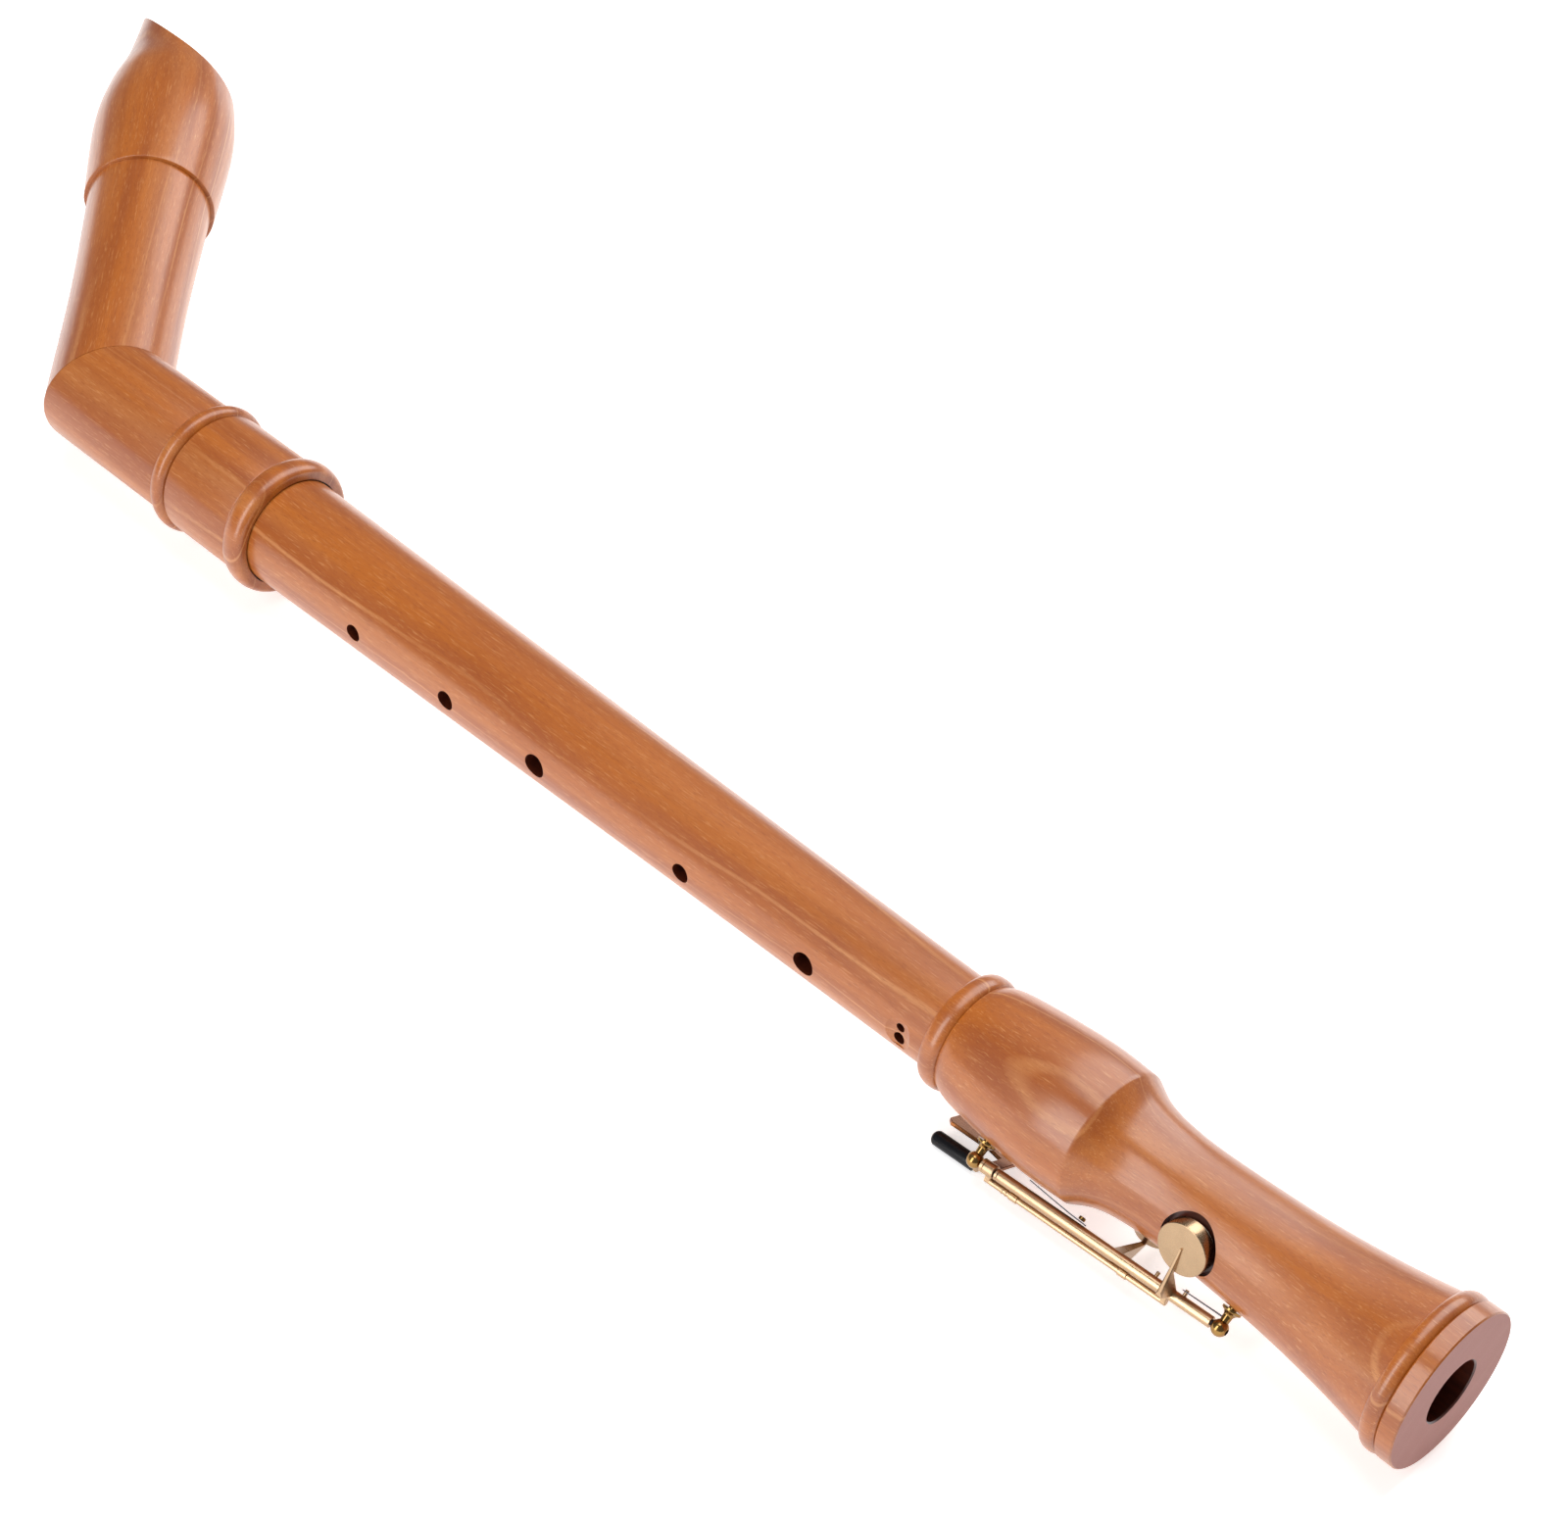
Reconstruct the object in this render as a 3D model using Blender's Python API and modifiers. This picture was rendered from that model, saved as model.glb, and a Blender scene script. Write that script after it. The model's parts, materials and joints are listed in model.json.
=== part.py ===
"""Tenor recorder with a bent neck and a double key on its foot, lying on its player's right side.

The recorder is laid out in its own frame first: its bore runs along X with the bell end at x = 0,
the head is toward -X, the finger holes face -Y, the head bends toward +Y and the player's left
side faces +Z. A station is a distance from the bell end, and an angle is measured round the bore
from -Y toward +Z. At the end the whole recorder moves so that the origin is at the bottom centre
of its box.
"""

import math

import bmesh
import bpy
from mathutils import Matrix, Vector

MM = 0.001
DEG = math.pi / 180

# Fits
SEAT_GAP = 0.3 * MM  # between two pieces that rest on each other
CORK_GAP = 0.2 * MM  # round a cork ring, in its groove and in its socket
BEARING_GAP = 0.15 * MM  # round a rod in its bearing

# Bell and foot joint
BELL_RADIUS = 21.2 * MM
BELL_BORE_RADIUS = 8.4 * MM
PLINTH_LENGTH = 4.7 * MM
BELL_BEAD_LENGTH = 4.8 * MM
BELL_BEAD_RADIUS = 21.4 * MM
BELL_NECK_RADIUS = 19.7 * MM
WAIST_STATION = 72 * MM
WAIST_RADIUS = 13.5 * MM
RIDGE_STATION = 99.3 * MM
RIDGE_RADIUS = 18.35 * MM
BARREL_STATION = 112 * MM
BARREL_RADIUS = 18.7 * MM
FOOT_LENGTH = 147.6 * MM
FOOT_BEAD_LENGTH = 8.6 * MM
FOOT_BEAD_RADIUS = 15.9 * MM
FOOT_GROOVE_RADIUS = 14.9 * MM
FOOT_BORE_RADIUS = 8.2 * MM
GROOVE_DEPTH = 0.6 * MM

# Middle joint
MIDDLE_LENGTH = 250.6 * MM
MIDDLE_LOW_RADIUS = 13.0 * MM
MIDDLE_TOP_RADIUS = 15.8 * MM
MIDDLE_TOP_BORE = 11.0 * MM
LOWER_TENON_LENGTH = 25 * MM
LOWER_TENON_RADIUS = 11.0 * MM
UPPER_TENON_LENGTH = 27 * MM
UPPER_TENON_RADIUS = 13.5 * MM
CORK_LENGTH = 14 * MM
CORK_DEPTH = 1.0 * MM
SOCKET_CLEARANCE = 0.4 * MM  # round a tenon, which its cork takes up

# Finger holes: distance below the middle joint's top shoulder, and diameter
FINGER_HOLES = [
    (43.6 * MM, 5.0 * MM),
    (80.2 * MM, 5.6 * MM),
    (114.4 * MM, 6.8 * MM),
    (167.8 * MM, 5.4 * MM),
    (210.6 * MM, 6.6 * MM),
]
DOUBLE_HOLE_DEPTH = 242.3 * MM
DOUBLE_HOLE_DIAMETERS = (3.4 * MM, 2.6 * MM)
DOUBLE_HOLE_SPACING = 3.6 * MM
SCOOP_RADIUS = 8.5 * MM
SCOOP_DEPTH = 0.9 * MM
SCOOP_WIDTH = 8.4 * MM
THUMB_HOLE_DEPTH = 35 * MM
THUMB_HOLE_DIAMETER = 6.4 * MM

# Head joint, lower piece
SOCKET_MOUTH_DEPTH = 2.0 * MM
SOCKET_BEAD_LENGTH = 9.2 * MM
SOCKET_BEAD_RADIUS = 20.0 * MM
SOCKET_WALL_RADIUS = 18.2 * MM
THIN_BEAD_OFFSET = 33.6 * MM
THIN_BEAD_LENGTH = 6.6 * MM
THIN_BEAD_RADIUS = 19.6 * MM
ELBOW_OFFSET = 82.4 * MM
ELBOW_RADIUS = 17.4 * MM
HEAD_BORE_RADIUS = 12.3 * MM
BEND = 46.2 * DEG
HEAD_TURN = 7.5 * DEG  # how far the head is turned round the tenon

# Head joint, upper piece, measured from the elbow along its own bore
STEP_DISTANCE = 84.2 * MM
NECK_RADIUS = 17.9 * MM
STEP_RADIUS = 19.7 * MM
BEAK_SWELL_DISTANCE = 114 * MM
BEAK_SWELL_RADIUS = 21.5 * MM
BEAK_TIP_DISTANCE = 170 * MM
BEAK_TIP_RADIUS = 13.9 * MM
BEAK_HEEL_DISTANCE = 133 * MM
BEAK_CUT_RADIUS = 75 * MM
WINDWAY_WIDTH = 12 * MM
WINDWAY_FLOOR = 10.9 * MM
WINDWAY_ROOF = 12.5 * MM
WINDOW_LENGTH = 5.5 * MM
WINDOW_DISTANCE = 103 * MM
RAMP_LENGTH = 24 * MM
LIP_THICKNESS = 0.6 * MM

# Hinge line of the two keys
HINGE_ANGLE = -41 * DEG
UPPER_PILLAR_STATION = 124.5 * MM
LOWER_PILLAR_STATION = 51.5 * MM
PILLAR_HEIGHT = 5.4 * MM
PILLAR_BALL_RADIUS = 1.95 * MM
PILLAR_NECK_RADIUS = 0.95 * MM
PILLAR_FOOT_RADIUS = 2.5 * MM
PILLAR_SHANK_LENGTH = 4.2 * MM
PILLAR_SHANK_RADIUS = 1.1 * MM
HINGE_ROD_RADIUS = 0.65 * MM
ROD_END_INSET = 0.4 * MM  # inside the outer side of each pillar
HINGE_TUBE_RADIUS = 1.5 * MM
KNUCKLE_RADIUS = 1.8 * MM
KNUCKLE_LENGTH = 4.0 * MM
LOWER_TUBE_LENGTH = 14 * MM
TRAVEL = 7 * DEG  # of each key, from rest until it is fully pressed

# Pads and their cups
PAD_CUP_RADIUS = 6.8 * MM
PAD_CUP_THICKNESS = 2.7 * MM
PAD_RADIUS = 6.0 * MM
PAD_THICKNESS = 1.8 * MM
PAD_SEAT_RADIUS = 7.9 * MM
PAD_SEAT_FLOOR = 11.0 * MM
TONE_HOLE_RADIUS = 3.6 * MM
C_SHARP_STATION = 65.2 * MM
C_SHARP_ANGLE = 11 * DEG
C_STATION = 82 * MM
C_ANGLE = -97 * DEG
ARM_THICKNESS = 1.5 * MM
SHORT_ARM_HEIGHT = 3.6 * MM  # above the hinge tube
LONG_ARM_HEIGHT = 4.8 * MM

# Touches
ROLLER_RADIUS = 2.0 * MM
ROLLER_LENGTH = 13.5 * MM
ROLLER_REACH = 6.5 * MM  # from the hinge line
ROLLER_SIDE = -125 * DEG
ROLLER_AXLE_RADIUS = 0.7 * MM
ROLLER_COLLAR_LENGTH = 0.9 * MM
STUD_RADIUS = 0.5 * MM
PLATE_REACH = 8.6 * MM
PLATE_SIDE = -153 * DEG
PLATE_LENGTH = 13.5 * MM
PLATE_WIDTH = 7.5 * MM
PLATE_THICKNESS = 1.1 * MM
BRIDGE_ROD_RADIUS = 0.8 * MM
BRIDGE_REACH = 2.85 * MM
BRIDGE_SIDE = -72 * DEG
COLLAR_RADIUS = 1.05 * MM
COLLAR_LENGTH = 2.6 * MM
NEEDLE_RADIUS = 0.22 * MM
NEEDLE_REACH = 2.5 * MM  # from the hinge line
FLAT_SPRING_LENGTH = 16 * MM
FLAT_SPRING_WIDTH = 1.8 * MM
FLAT_SPRING_THICKNESS = 0.3 * MM
SPRING_SCREW_RADIUS = 0.9 * MM

WOOD_SIDES = 40
SMALL_SIDES = 16
HOLE_SIDES = 20
PAD_SIDES = 28
ROD_SIDES = 12
BEAK_CUT_SIDES = 110

# Stations that follow from the lengths
MIDDLE_TOP = FOOT_LENGTH + MIDDLE_LENGTH
ELBOW_STATION = MIDDLE_TOP + ELBOW_OFFSET
FOOT_SOCKET_RADIUS = LOWER_TENON_RADIUS + SOCKET_CLEARANCE
FOOT_SOCKET_STATION = FOOT_LENGTH - LOWER_TENON_LENGTH - SEAT_GAP
HEAD_SOCKET_RADIUS = UPPER_TENON_RADIUS + SOCKET_CLEARANCE
HEAD_SOCKET_STATION = MIDDLE_TOP + SOCKET_MOUTH_DEPTH + UPPER_TENON_LENGTH
KNUCKLE_START = UPPER_PILLAR_STATION - PILLAR_BALL_RADIUS - SEAT_GAP
KNUCKLE_END = KNUCKLE_START - KNUCKLE_LENGTH
LONG_TUBE_START = KNUCKLE_END - SEAT_GAP
LOWER_TUBE_END = LOWER_PILLAR_STATION + PILLAR_BALL_RADIUS + SEAT_GAP
LOWER_TUBE_START = LOWER_TUBE_END + LOWER_TUBE_LENGTH
LONG_TUBE_END = LOWER_TUBE_START + SEAT_GAP
UPPER_COLLAR_STATION = KNUCKLE_END - 5.5 * MM
LOWER_COLLAR_STATION = LOWER_TUBE_START + 12 * MM
CATCH_STATION = LOWER_TUBE_START - 5 * MM


# ---------------------------------------------------------------- helpers


def clear_scene():
    for obj in list(bpy.data.objects):
        bpy.data.objects.remove(obj, do_unlink=True)
    for group in list(bpy.data.collections):
        bpy.data.collections.remove(group)


def new_collection(name):
    group = bpy.data.collections.new(name)
    bpy.context.scene.collection.children.link(group)
    return group


clear_scene()
PARTS = new_collection("tenor_recorder")
CUTTERS = new_collection("cutters")
UNTURNED = {}  # the frame of each pivot empty before it is turned


def material(name, color, roughness, metallic=0.0):
    made = bpy.data.materials.new(name)
    made.use_nodes = True
    shader = made.node_tree.nodes["Principled BSDF"]
    shader.inputs["Base Color"].default_value = (*color, 1)
    shader.inputs["Roughness"].default_value = roughness
    shader.inputs["Metallic"].default_value = metallic
    return made


PEARWOOD = material("pearwood", (0.55, 0.22, 0.09), 0.4)
CEDAR = material("cedar", (0.42, 0.17, 0.09), 0.7)
CORK = material("cork", (0.50, 0.33, 0.19), 0.9)
KEY_BRASS = material("key_brass", (0.70, 0.50, 0.28), 0.35, 1.0)
PILLAR_BRASS = material("pillar_brass", (0.45, 0.30, 0.10), 0.25, 1.0)
STEEL = material("blued_steel", (0.10, 0.10, 0.12), 0.3, 1.0)
ROLLER_BLACK = material("black_resin", (0.01, 0.01, 0.012), 0.2)
PAD_SKIN = material("pad_skin", (0.75, 0.68, 0.55), 0.6)


def empty(name, parent=None, matrix=None):
    obj = bpy.data.objects.new(name, None)
    PARTS.objects.link(obj)
    obj.parent = parent
    if matrix:
        obj.matrix_local = matrix
    return obj


def turn_to(direction, upright=(0, 0, 1)):
    """The rotation that takes local Z to a direction and keeps local X as near upright as it can."""
    z_axis = Vector(direction).normalized()
    x_axis = Vector(upright) - z_axis * z_axis.dot(Vector(upright))
    if x_axis.length < 1e-6:
        x_axis = z_axis.orthogonal()
    x_axis.normalize()
    return Matrix((x_axis, z_axis.cross(x_axis), z_axis)).transposed()


def frame(origin, direction, upright=(0, 0, 1)):
    return Matrix.Translation(Vector(origin)) @ turn_to(direction, upright).to_4x4()


def keep(obj, parent, matrix, finish=None):
    """Links an object as a part, or as a cutter where it has no finish."""
    (PARTS if finish else CUTTERS).objects.link(obj)
    obj.parent = parent
    obj.matrix_local = UNTURNED.get(parent.name, Matrix()).inverted() @ matrix
    if finish:
        obj.data.materials.append(finish)
    else:
        obj.hide_render = True
        obj.display_type = "WIRE"
    return obj


def mesh_object(name, points, edges, faces):
    mesh = bpy.data.meshes.new(name)
    mesh.from_pydata([tuple(point) for point in points], edges, faces)
    mesh.update()
    return bpy.data.objects.new(name, mesh)


def turned(name, profile, parent, matrix, finish=None, sides=WOOD_SIDES):
    """Turns (radius, height) points round local Z. They run down the outer side and up the bore."""
    count = len(profile)
    on_axis = profile[0][0] == 0 and profile[-1][0] == 0
    edges = [(i, (i + 1) % count) for i in range(count - 1 if on_axis else count)]
    obj = mesh_object(name, [(r, 0, z) for r, z in profile], edges, [])
    keep(obj, parent, matrix, finish)
    screw = obj.modifiers.new("turn", "SCREW")
    screw.steps = screw.render_steps = sides
    screw.use_merge_vertices = True
    screw.merge_threshold = 0.00001
    screw.use_smooth_shade = True
    return obj


def prism(name, outline, thickness, parent, matrix, finish=None):
    """A flat outline in local X and Y, as thick as given and centred on local Z = 0."""
    curve = bpy.data.curves.new(name, "CURVE")
    curve.dimensions = "2D"
    curve.fill_mode = "BOTH"
    curve.extrude = thickness / 2
    spline = curve.splines.new("POLY")
    spline.points.add(len(outline) - 1)
    for point, (x, y) in zip(spline.points, outline):
        point.co = (x, y, 0, 1)
    spline.use_cyclic_u = True
    return solid_from(curve, name, parent, matrix, finish)


def solid_from(curve, name, parent, matrix, finish):
    """A mesh object from a curve, with its caps welded on."""
    guide = bpy.data.objects.new(name + "_guide", curve)
    bpy.context.scene.collection.objects.link(guide)
    graph = bpy.context.evaluated_depsgraph_get()
    mesh = bpy.data.meshes.new_from_object(guide.evaluated_get(graph))
    bpy.data.objects.remove(guide, do_unlink=True)
    weld(mesh)
    obj = bpy.data.objects.new(name, mesh)
    obj.data.materials.clear()
    return keep(obj, parent, matrix, finish)


def weld(mesh):
    work = bmesh.new()
    work.from_mesh(mesh)
    bmesh.ops.remove_doubles(work, verts=work.verts, dist=0.000001)
    bmesh.ops.recalc_face_normals(work, faces=work.faces)
    work.to_mesh(mesh)
    work.free()


def rod_between(name, start, end, radius, parent, finish=None, sides=SMALL_SIDES):
    """A plain round rod, or a cutter where it has no finish."""
    start, end = Vector(start), Vector(end)
    length = (end - start).length
    profile = [(0, length), (radius, length), (radius, 0), (0, 0)]
    return turned(name, profile, parent, frame(start, end - start), finish, sides)


def box(name, size, parent, matrix, finish=None):
    bpy.ops.mesh.primitive_cube_add(size=1)
    obj = bpy.context.object
    for group in list(obj.users_collection):
        group.objects.unlink(obj)
    obj.name = name
    obj.data.name = name
    obj.data.transform(Matrix.Diagonal((*size, 1)))
    return keep(obj, parent, matrix, finish)


def combine(obj, other, operation="DIFFERENCE"):
    modifier = obj.modifiers.new(f"{operation.lower()}_{other.name}", "BOOLEAN")
    modifier.operation = operation
    modifier.object = other
    modifier.solver = "EXACT"


def smooth_line(points, steps=2):
    """Points on a smooth curve through the given (radius, height) points."""
    ends = [points[0], *points, points[-1]]
    line = []
    for before, start, end, after in zip(ends, ends[1:], ends[2:], ends[3:]):
        for step in range(steps):
            t = step / steps
            line.append(tuple(catmull(before[k], start[k], end[k], after[k], t) for k in (0, 1)))
    return line + [points[-1]]


def catmull(before, start, end, after, t):
    return 0.5 * (
        2 * start
        + (end - before) * t
        + (2 * before - 5 * start + 4 * end - after) * t**2
        + (3 * start - before - 3 * end + after) * t**3
    )


def bead(top, bottom, radius, low_radius, steps=5):
    """A round moulding from its top height to its bottom height, as (radius, height) points."""
    middle, half = (top + bottom) / 2, (top - bottom) / 2
    line = []
    for step in range(steps + 1):
        angle = math.pi / 2 - math.pi * step / steps
        height = middle + half * math.sin(angle)
        line.append((low_radius + (radius - low_radius) * math.cos(angle), height))
    return line


def at(station, radius=0.0, angle=0.0):
    """A place in the recorder's frame."""
    return Vector((-station, -radius * math.cos(angle), radius * math.sin(angle)))


def outward(angle):
    return at(0, 1, angle)


def along_bore(station=0.0):
    """Local Z toward the bell, so that a height is minus a station."""
    return frame(at(station), (1, 0, 0))


def hinge_at(station):
    """The point of the hinge line at a station."""
    upper_end, lower_end = HINGE_ENDS
    share = (UPPER_PILLAR_STATION - station) / (UPPER_PILLAR_STATION - LOWER_PILLAR_STATION)
    return upper_end.lerp(lower_end, share)


def beside_hinge(station, reach, side):
    return hinge_at(station) + outward(side) * reach


# ---------------------------------------------------------------- wood


def foot_outline():
    """The foot's outer side, from the bell up to the bead at its top."""
    groove = BELL_BEAD_RADIUS - GROOVE_DEPTH
    bead_end = PLINTH_LENGTH + BELL_BEAD_LENGTH
    flare = WAIST_STATION - bead_end
    cove = RIDGE_STATION - WAIST_STATION
    rise = BELL_NECK_RADIUS - WAIST_RADIUS
    lift = RIDGE_RADIUS - WAIST_RADIUS
    bead_start = FOOT_LENGTH - FOOT_BEAD_LENGTH
    fall = BARREL_RADIUS - FOOT_GROOVE_RADIUS
    shoulder = bead_start - BARREL_STATION
    flare_line = [
        (BELL_NECK_RADIUS, -bead_end),
        (WAIST_RADIUS + 0.57 * rise, -bead_end - 0.25 * flare),
        (WAIST_RADIUS + 0.20 * rise, -bead_end - 0.58 * flare),
        (WAIST_RADIUS, -WAIST_STATION),
        (WAIST_RADIUS + 0.06 * lift, -WAIST_STATION - 0.45 * cove),
        (WAIST_RADIUS + 0.36 * lift, -WAIST_STATION - 0.76 * cove),
        (RIDGE_RADIUS, -RIDGE_STATION),
    ]
    barrel_line = [
        (RIDGE_RADIUS, -RIDGE_STATION),
        (BARREL_RADIUS, -BARREL_STATION),
        (FOOT_GROOVE_RADIUS + 0.70 * fall, -BARREL_STATION - 0.52 * shoulder),
        (FOOT_GROOVE_RADIUS + 0.36 * fall, -BARREL_STATION - 0.86 * shoulder),
        (FOOT_GROOVE_RADIUS, -bead_start),
    ]
    line = [(BELL_RADIUS, 0), (BELL_RADIUS, -PLINTH_LENGTH + GROOVE_DEPTH), (groove, -PLINTH_LENGTH)]
    line += bead(-PLINTH_LENGTH, -bead_end, BELL_BEAD_RADIUS, BELL_NECK_RADIUS)[1:-1]
    line += smooth_line(flare_line)
    line += smooth_line(barrel_line)[1:]
    line += bead(-bead_start, -FOOT_LENGTH, FOOT_BEAD_RADIUS, FOOT_GROOVE_RADIUS)[1:]
    return line


def wood_radius(station):
    """The foot's outer radius at a station."""
    line = foot_outline()
    for (r0, z0), (r1, z1) in zip(line, line[1:]):
        if z1 <= -station <= z0 and z0 != z1:
            return r0 + (r1 - r0) * (z0 + station) / (z0 - z1)
    return 0.0


HINGE_ENDS = tuple(
    at(station, wood_radius(station) + PILLAR_HEIGHT, HINGE_ANGLE)
    for station in (UPPER_PILLAR_STATION, LOWER_PILLAR_STATION)
)


def drill(obj, name, origin, direction, radius, depth, parent, sides=HOLE_SIDES):
    """Cuts a round hole that ends at origin plus depth along a direction, and starts well outside."""
    start = Vector(origin)
    combine(obj, rod_between(name, start, start + Vector(direction) * depth, radius, parent, None, sides))


def make_foot(recorder):
    line = foot_outline()
    line += [
        (FOOT_SOCKET_RADIUS, -FOOT_LENGTH),
        (FOOT_SOCKET_RADIUS, -FOOT_SOCKET_STATION),
        (FOOT_BORE_RADIUS, -FOOT_SOCKET_STATION),
        (BELL_BORE_RADIUS, 0),
    ]
    foot = turned("foot_joint", line, recorder, along_bore(), PEARWOOD)
    for name, station, angle in (("c_sharp", C_SHARP_STATION, C_SHARP_ANGLE), ("c", C_STATION, C_ANGLE)):
        open_tone_hole(foot, name, station, angle, recorder)
    for name, station in (("upper", UPPER_PILLAR_STATION), ("lower", LOWER_PILLAR_STATION)):
        depth = PILLAR_SHANK_LENGTH + 2 * SEAT_GAP
        start = at(station, wood_radius(station) - depth, HINGE_ANGLE)
        radius = PILLAR_SHANK_RADIUS + BEARING_GAP
        name += "_shank_cutter"
        drill(foot, name, start, outward(HINGE_ANGLE), radius, 2 * depth, recorder, SMALL_SIDES)


def open_tone_hole(foot, name, station, angle, recorder):
    """A tone hole in the middle of the flat round seat for its pad."""
    seat = at(station, PAD_SEAT_FLOOR, angle)
    out, depth = outward(angle), 2 * BARREL_RADIUS
    drill(foot, name + "_seat_cutter", seat, out, PAD_SEAT_RADIUS, depth, recorder, PAD_SIDES)
    drill(foot, name + "_tone_hole_cutter", at(station), out, TONE_HOLE_RADIUS, depth, recorder)


def middle_outline():
    """The middle joint, from its lower tenon up to its top tenon and back down the bore."""
    bottom = -(FOOT_LENGTH - LOWER_TENON_LENGTH)
    low_shoulder = -(FOOT_LENGTH + SEAT_GAP)
    top_shoulder = -(MIDDLE_TOP + SOCKET_MOUTH_DEPTH - SEAT_GAP)
    top = top_shoulder - UPPER_TENON_LENGTH + SEAT_GAP
    growth = MIDDLE_TOP_RADIUS - MIDDLE_LOW_RADIUS
    body = smooth_line(
        [
            (MIDDLE_LOW_RADIUS, low_shoulder),
            (MIDDLE_LOW_RADIUS + 0.22 * growth, low_shoulder - 0.30 * MIDDLE_LENGTH),
            (MIDDLE_LOW_RADIUS + 0.58 * growth, low_shoulder - 0.63 * MIDDLE_LENGTH),
            (MIDDLE_TOP_RADIUS, top_shoulder),
        ]
    )
    low_cork, top_cork = cork_ends()
    line = [(LOWER_TENON_RADIUS, bottom)]
    line += groove_steps(LOWER_TENON_RADIUS, low_cork)
    line += [(LOWER_TENON_RADIUS, low_shoulder)]
    line += body
    line += [(UPPER_TENON_RADIUS, top_shoulder)]
    line += groove_steps(UPPER_TENON_RADIUS, top_cork)
    line += [(UPPER_TENON_RADIUS, top), (MIDDLE_TOP_BORE, top), (FOOT_BORE_RADIUS + SEAT_GAP, bottom)]
    return line


def groove_steps(radius, ends):
    start, end = ends
    low = radius - CORK_DEPTH
    return [(radius, -start), (low, -start), (low, -end), (radius, -end)]


def cork_ends():
    """The stations where each tenon's cork groove starts and ends."""
    low_middle = FOOT_LENGTH - LOWER_TENON_LENGTH / 2
    top_middle = MIDDLE_TOP + SOCKET_MOUTH_DEPTH + UPPER_TENON_LENGTH / 2
    return [(middle - CORK_LENGTH / 2, middle + CORK_LENGTH / 2) for middle in (low_middle, top_middle)]


def make_middle(recorder):
    middle = turned("middle_joint", middle_outline(), recorder, along_bore(), PEARWOOD)
    depth = 2 * MIDDLE_TOP_RADIUS
    for number, (below_top, diameter) in enumerate(FINGER_HOLES, 1):
        name = f"finger_hole_{number}_cutter"
        drill(middle, name, at(MIDDLE_TOP - below_top), outward(0), diameter / 2, depth, recorder)
    open_double_hole(middle, recorder)
    thumb = at(MIDDLE_TOP - THUMB_HOLE_DEPTH)
    drill(middle, "thumb_hole_cutter", thumb, -outward(0), THUMB_HOLE_DIAMETER / 2, depth, recorder)


def open_double_hole(middle, recorder):
    """The lowest finger hole: two small holes side by side in a hollow for the finger."""
    station = MIDDLE_TOP - DOUBLE_HOLE_DEPTH
    centre = at(station, MIDDLE_LOW_RADIUS + SCOOP_RADIUS - SCOOP_DEPTH)
    half = Vector((0, 0, SCOOP_WIDTH / 2))
    combine(middle, rod_between("scoop_cutter", centre - half, centre + half, SCOOP_RADIUS, recorder))
    for name, diameter, side in zip(("large", "small"), DOUBLE_HOLE_DIAMETERS, (-0.5, 0.5)):
        start = at(station) + Vector((0, 0, side * DOUBLE_HOLE_SPACING))
        name = f"double_hole_{name}_cutter"
        drill(middle, name, start, outward(0), diameter / 2, 2 * MIDDLE_TOP_RADIUS, recorder, SMALL_SIDES)


def make_corks(recorder):
    low_cork, top_cork = cork_ends()
    for name, radius, (start, end) in (
        ("lower_tenon_cork", LOWER_TENON_RADIUS, low_cork),
        ("upper_tenon_cork", UPPER_TENON_RADIUS, top_cork),
    ):
        outer = radius + SOCKET_CLEARANCE - CORK_GAP
        inner = radius - CORK_DEPTH + CORK_GAP
        top, bottom = -start - CORK_GAP, -end + CORK_GAP
        ring = [(outer, top), (outer, bottom), (inner, bottom), (inner, top)]
        turned(name, ring, recorder, along_bore(), CORK)


def mitre_cutter(name, head, toward_beak):
    """A block on one side of the elbow's mitre plane."""
    normal = Vector((-1 - math.cos(BEND), math.sin(BEND), 0)).normalized()
    if not toward_beak:
        normal = -normal
    size = 8 * ELBOW_RADIUS
    centre = at(ELBOW_STATION) + normal * (size / 2 - SEAT_GAP / 4)
    return box(name, (size, size, size), head, frame(centre, normal))


def make_elbow_socket(head):
    start = MIDDLE_TOP
    bead_low = SOCKET_WALL_RADIUS - GROOVE_DEPTH / 2
    bead_end = start + SOCKET_BEAD_LENGTH
    thin_start = start + THIN_BEAD_OFFSET
    thin_end = thin_start + THIN_BEAD_LENGTH
    far_end = ELBOW_STATION + 1.5 * ELBOW_RADIUS
    mouth = MIDDLE_TOP_RADIUS + SOCKET_CLEARANCE
    mouth_floor = start + SOCKET_MOUTH_DEPTH
    line = bead(-start, -bead_end, SOCKET_BEAD_RADIUS, bead_low)
    line += [
        (SOCKET_WALL_RADIUS, -bead_end - GROOVE_DEPTH),
        (SOCKET_WALL_RADIUS, -thin_start + GROOVE_DEPTH),
    ]
    line += bead(-thin_start, -thin_end, THIN_BEAD_RADIUS, ELBOW_RADIUS - GROOVE_DEPTH / 2)
    line += [
        (ELBOW_RADIUS, -thin_end - GROOVE_DEPTH),
        (ELBOW_RADIUS, -far_end),
        (HEAD_BORE_RADIUS, -far_end),
        (HEAD_BORE_RADIUS, -HEAD_SOCKET_STATION),
        (HEAD_SOCKET_RADIUS, -HEAD_SOCKET_STATION),
        (HEAD_SOCKET_RADIUS, -mouth_floor),
        (mouth, -mouth_floor),
        (mouth, -start),
    ]
    piece = turned("head_socket_piece", line, head, along_bore(), PEARWOOD)
    combine(piece, mitre_cutter("socket_mitre_cutter", head, True))


def bend_frame():
    """Local Z runs up the upper head piece, and local X faces its window."""
    up = Vector((-math.cos(BEND), math.sin(BEND), 0))
    front = Vector((-math.sin(BEND), -math.cos(BEND), 0))
    return frame(at(ELBOW_STATION), up, front)


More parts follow.
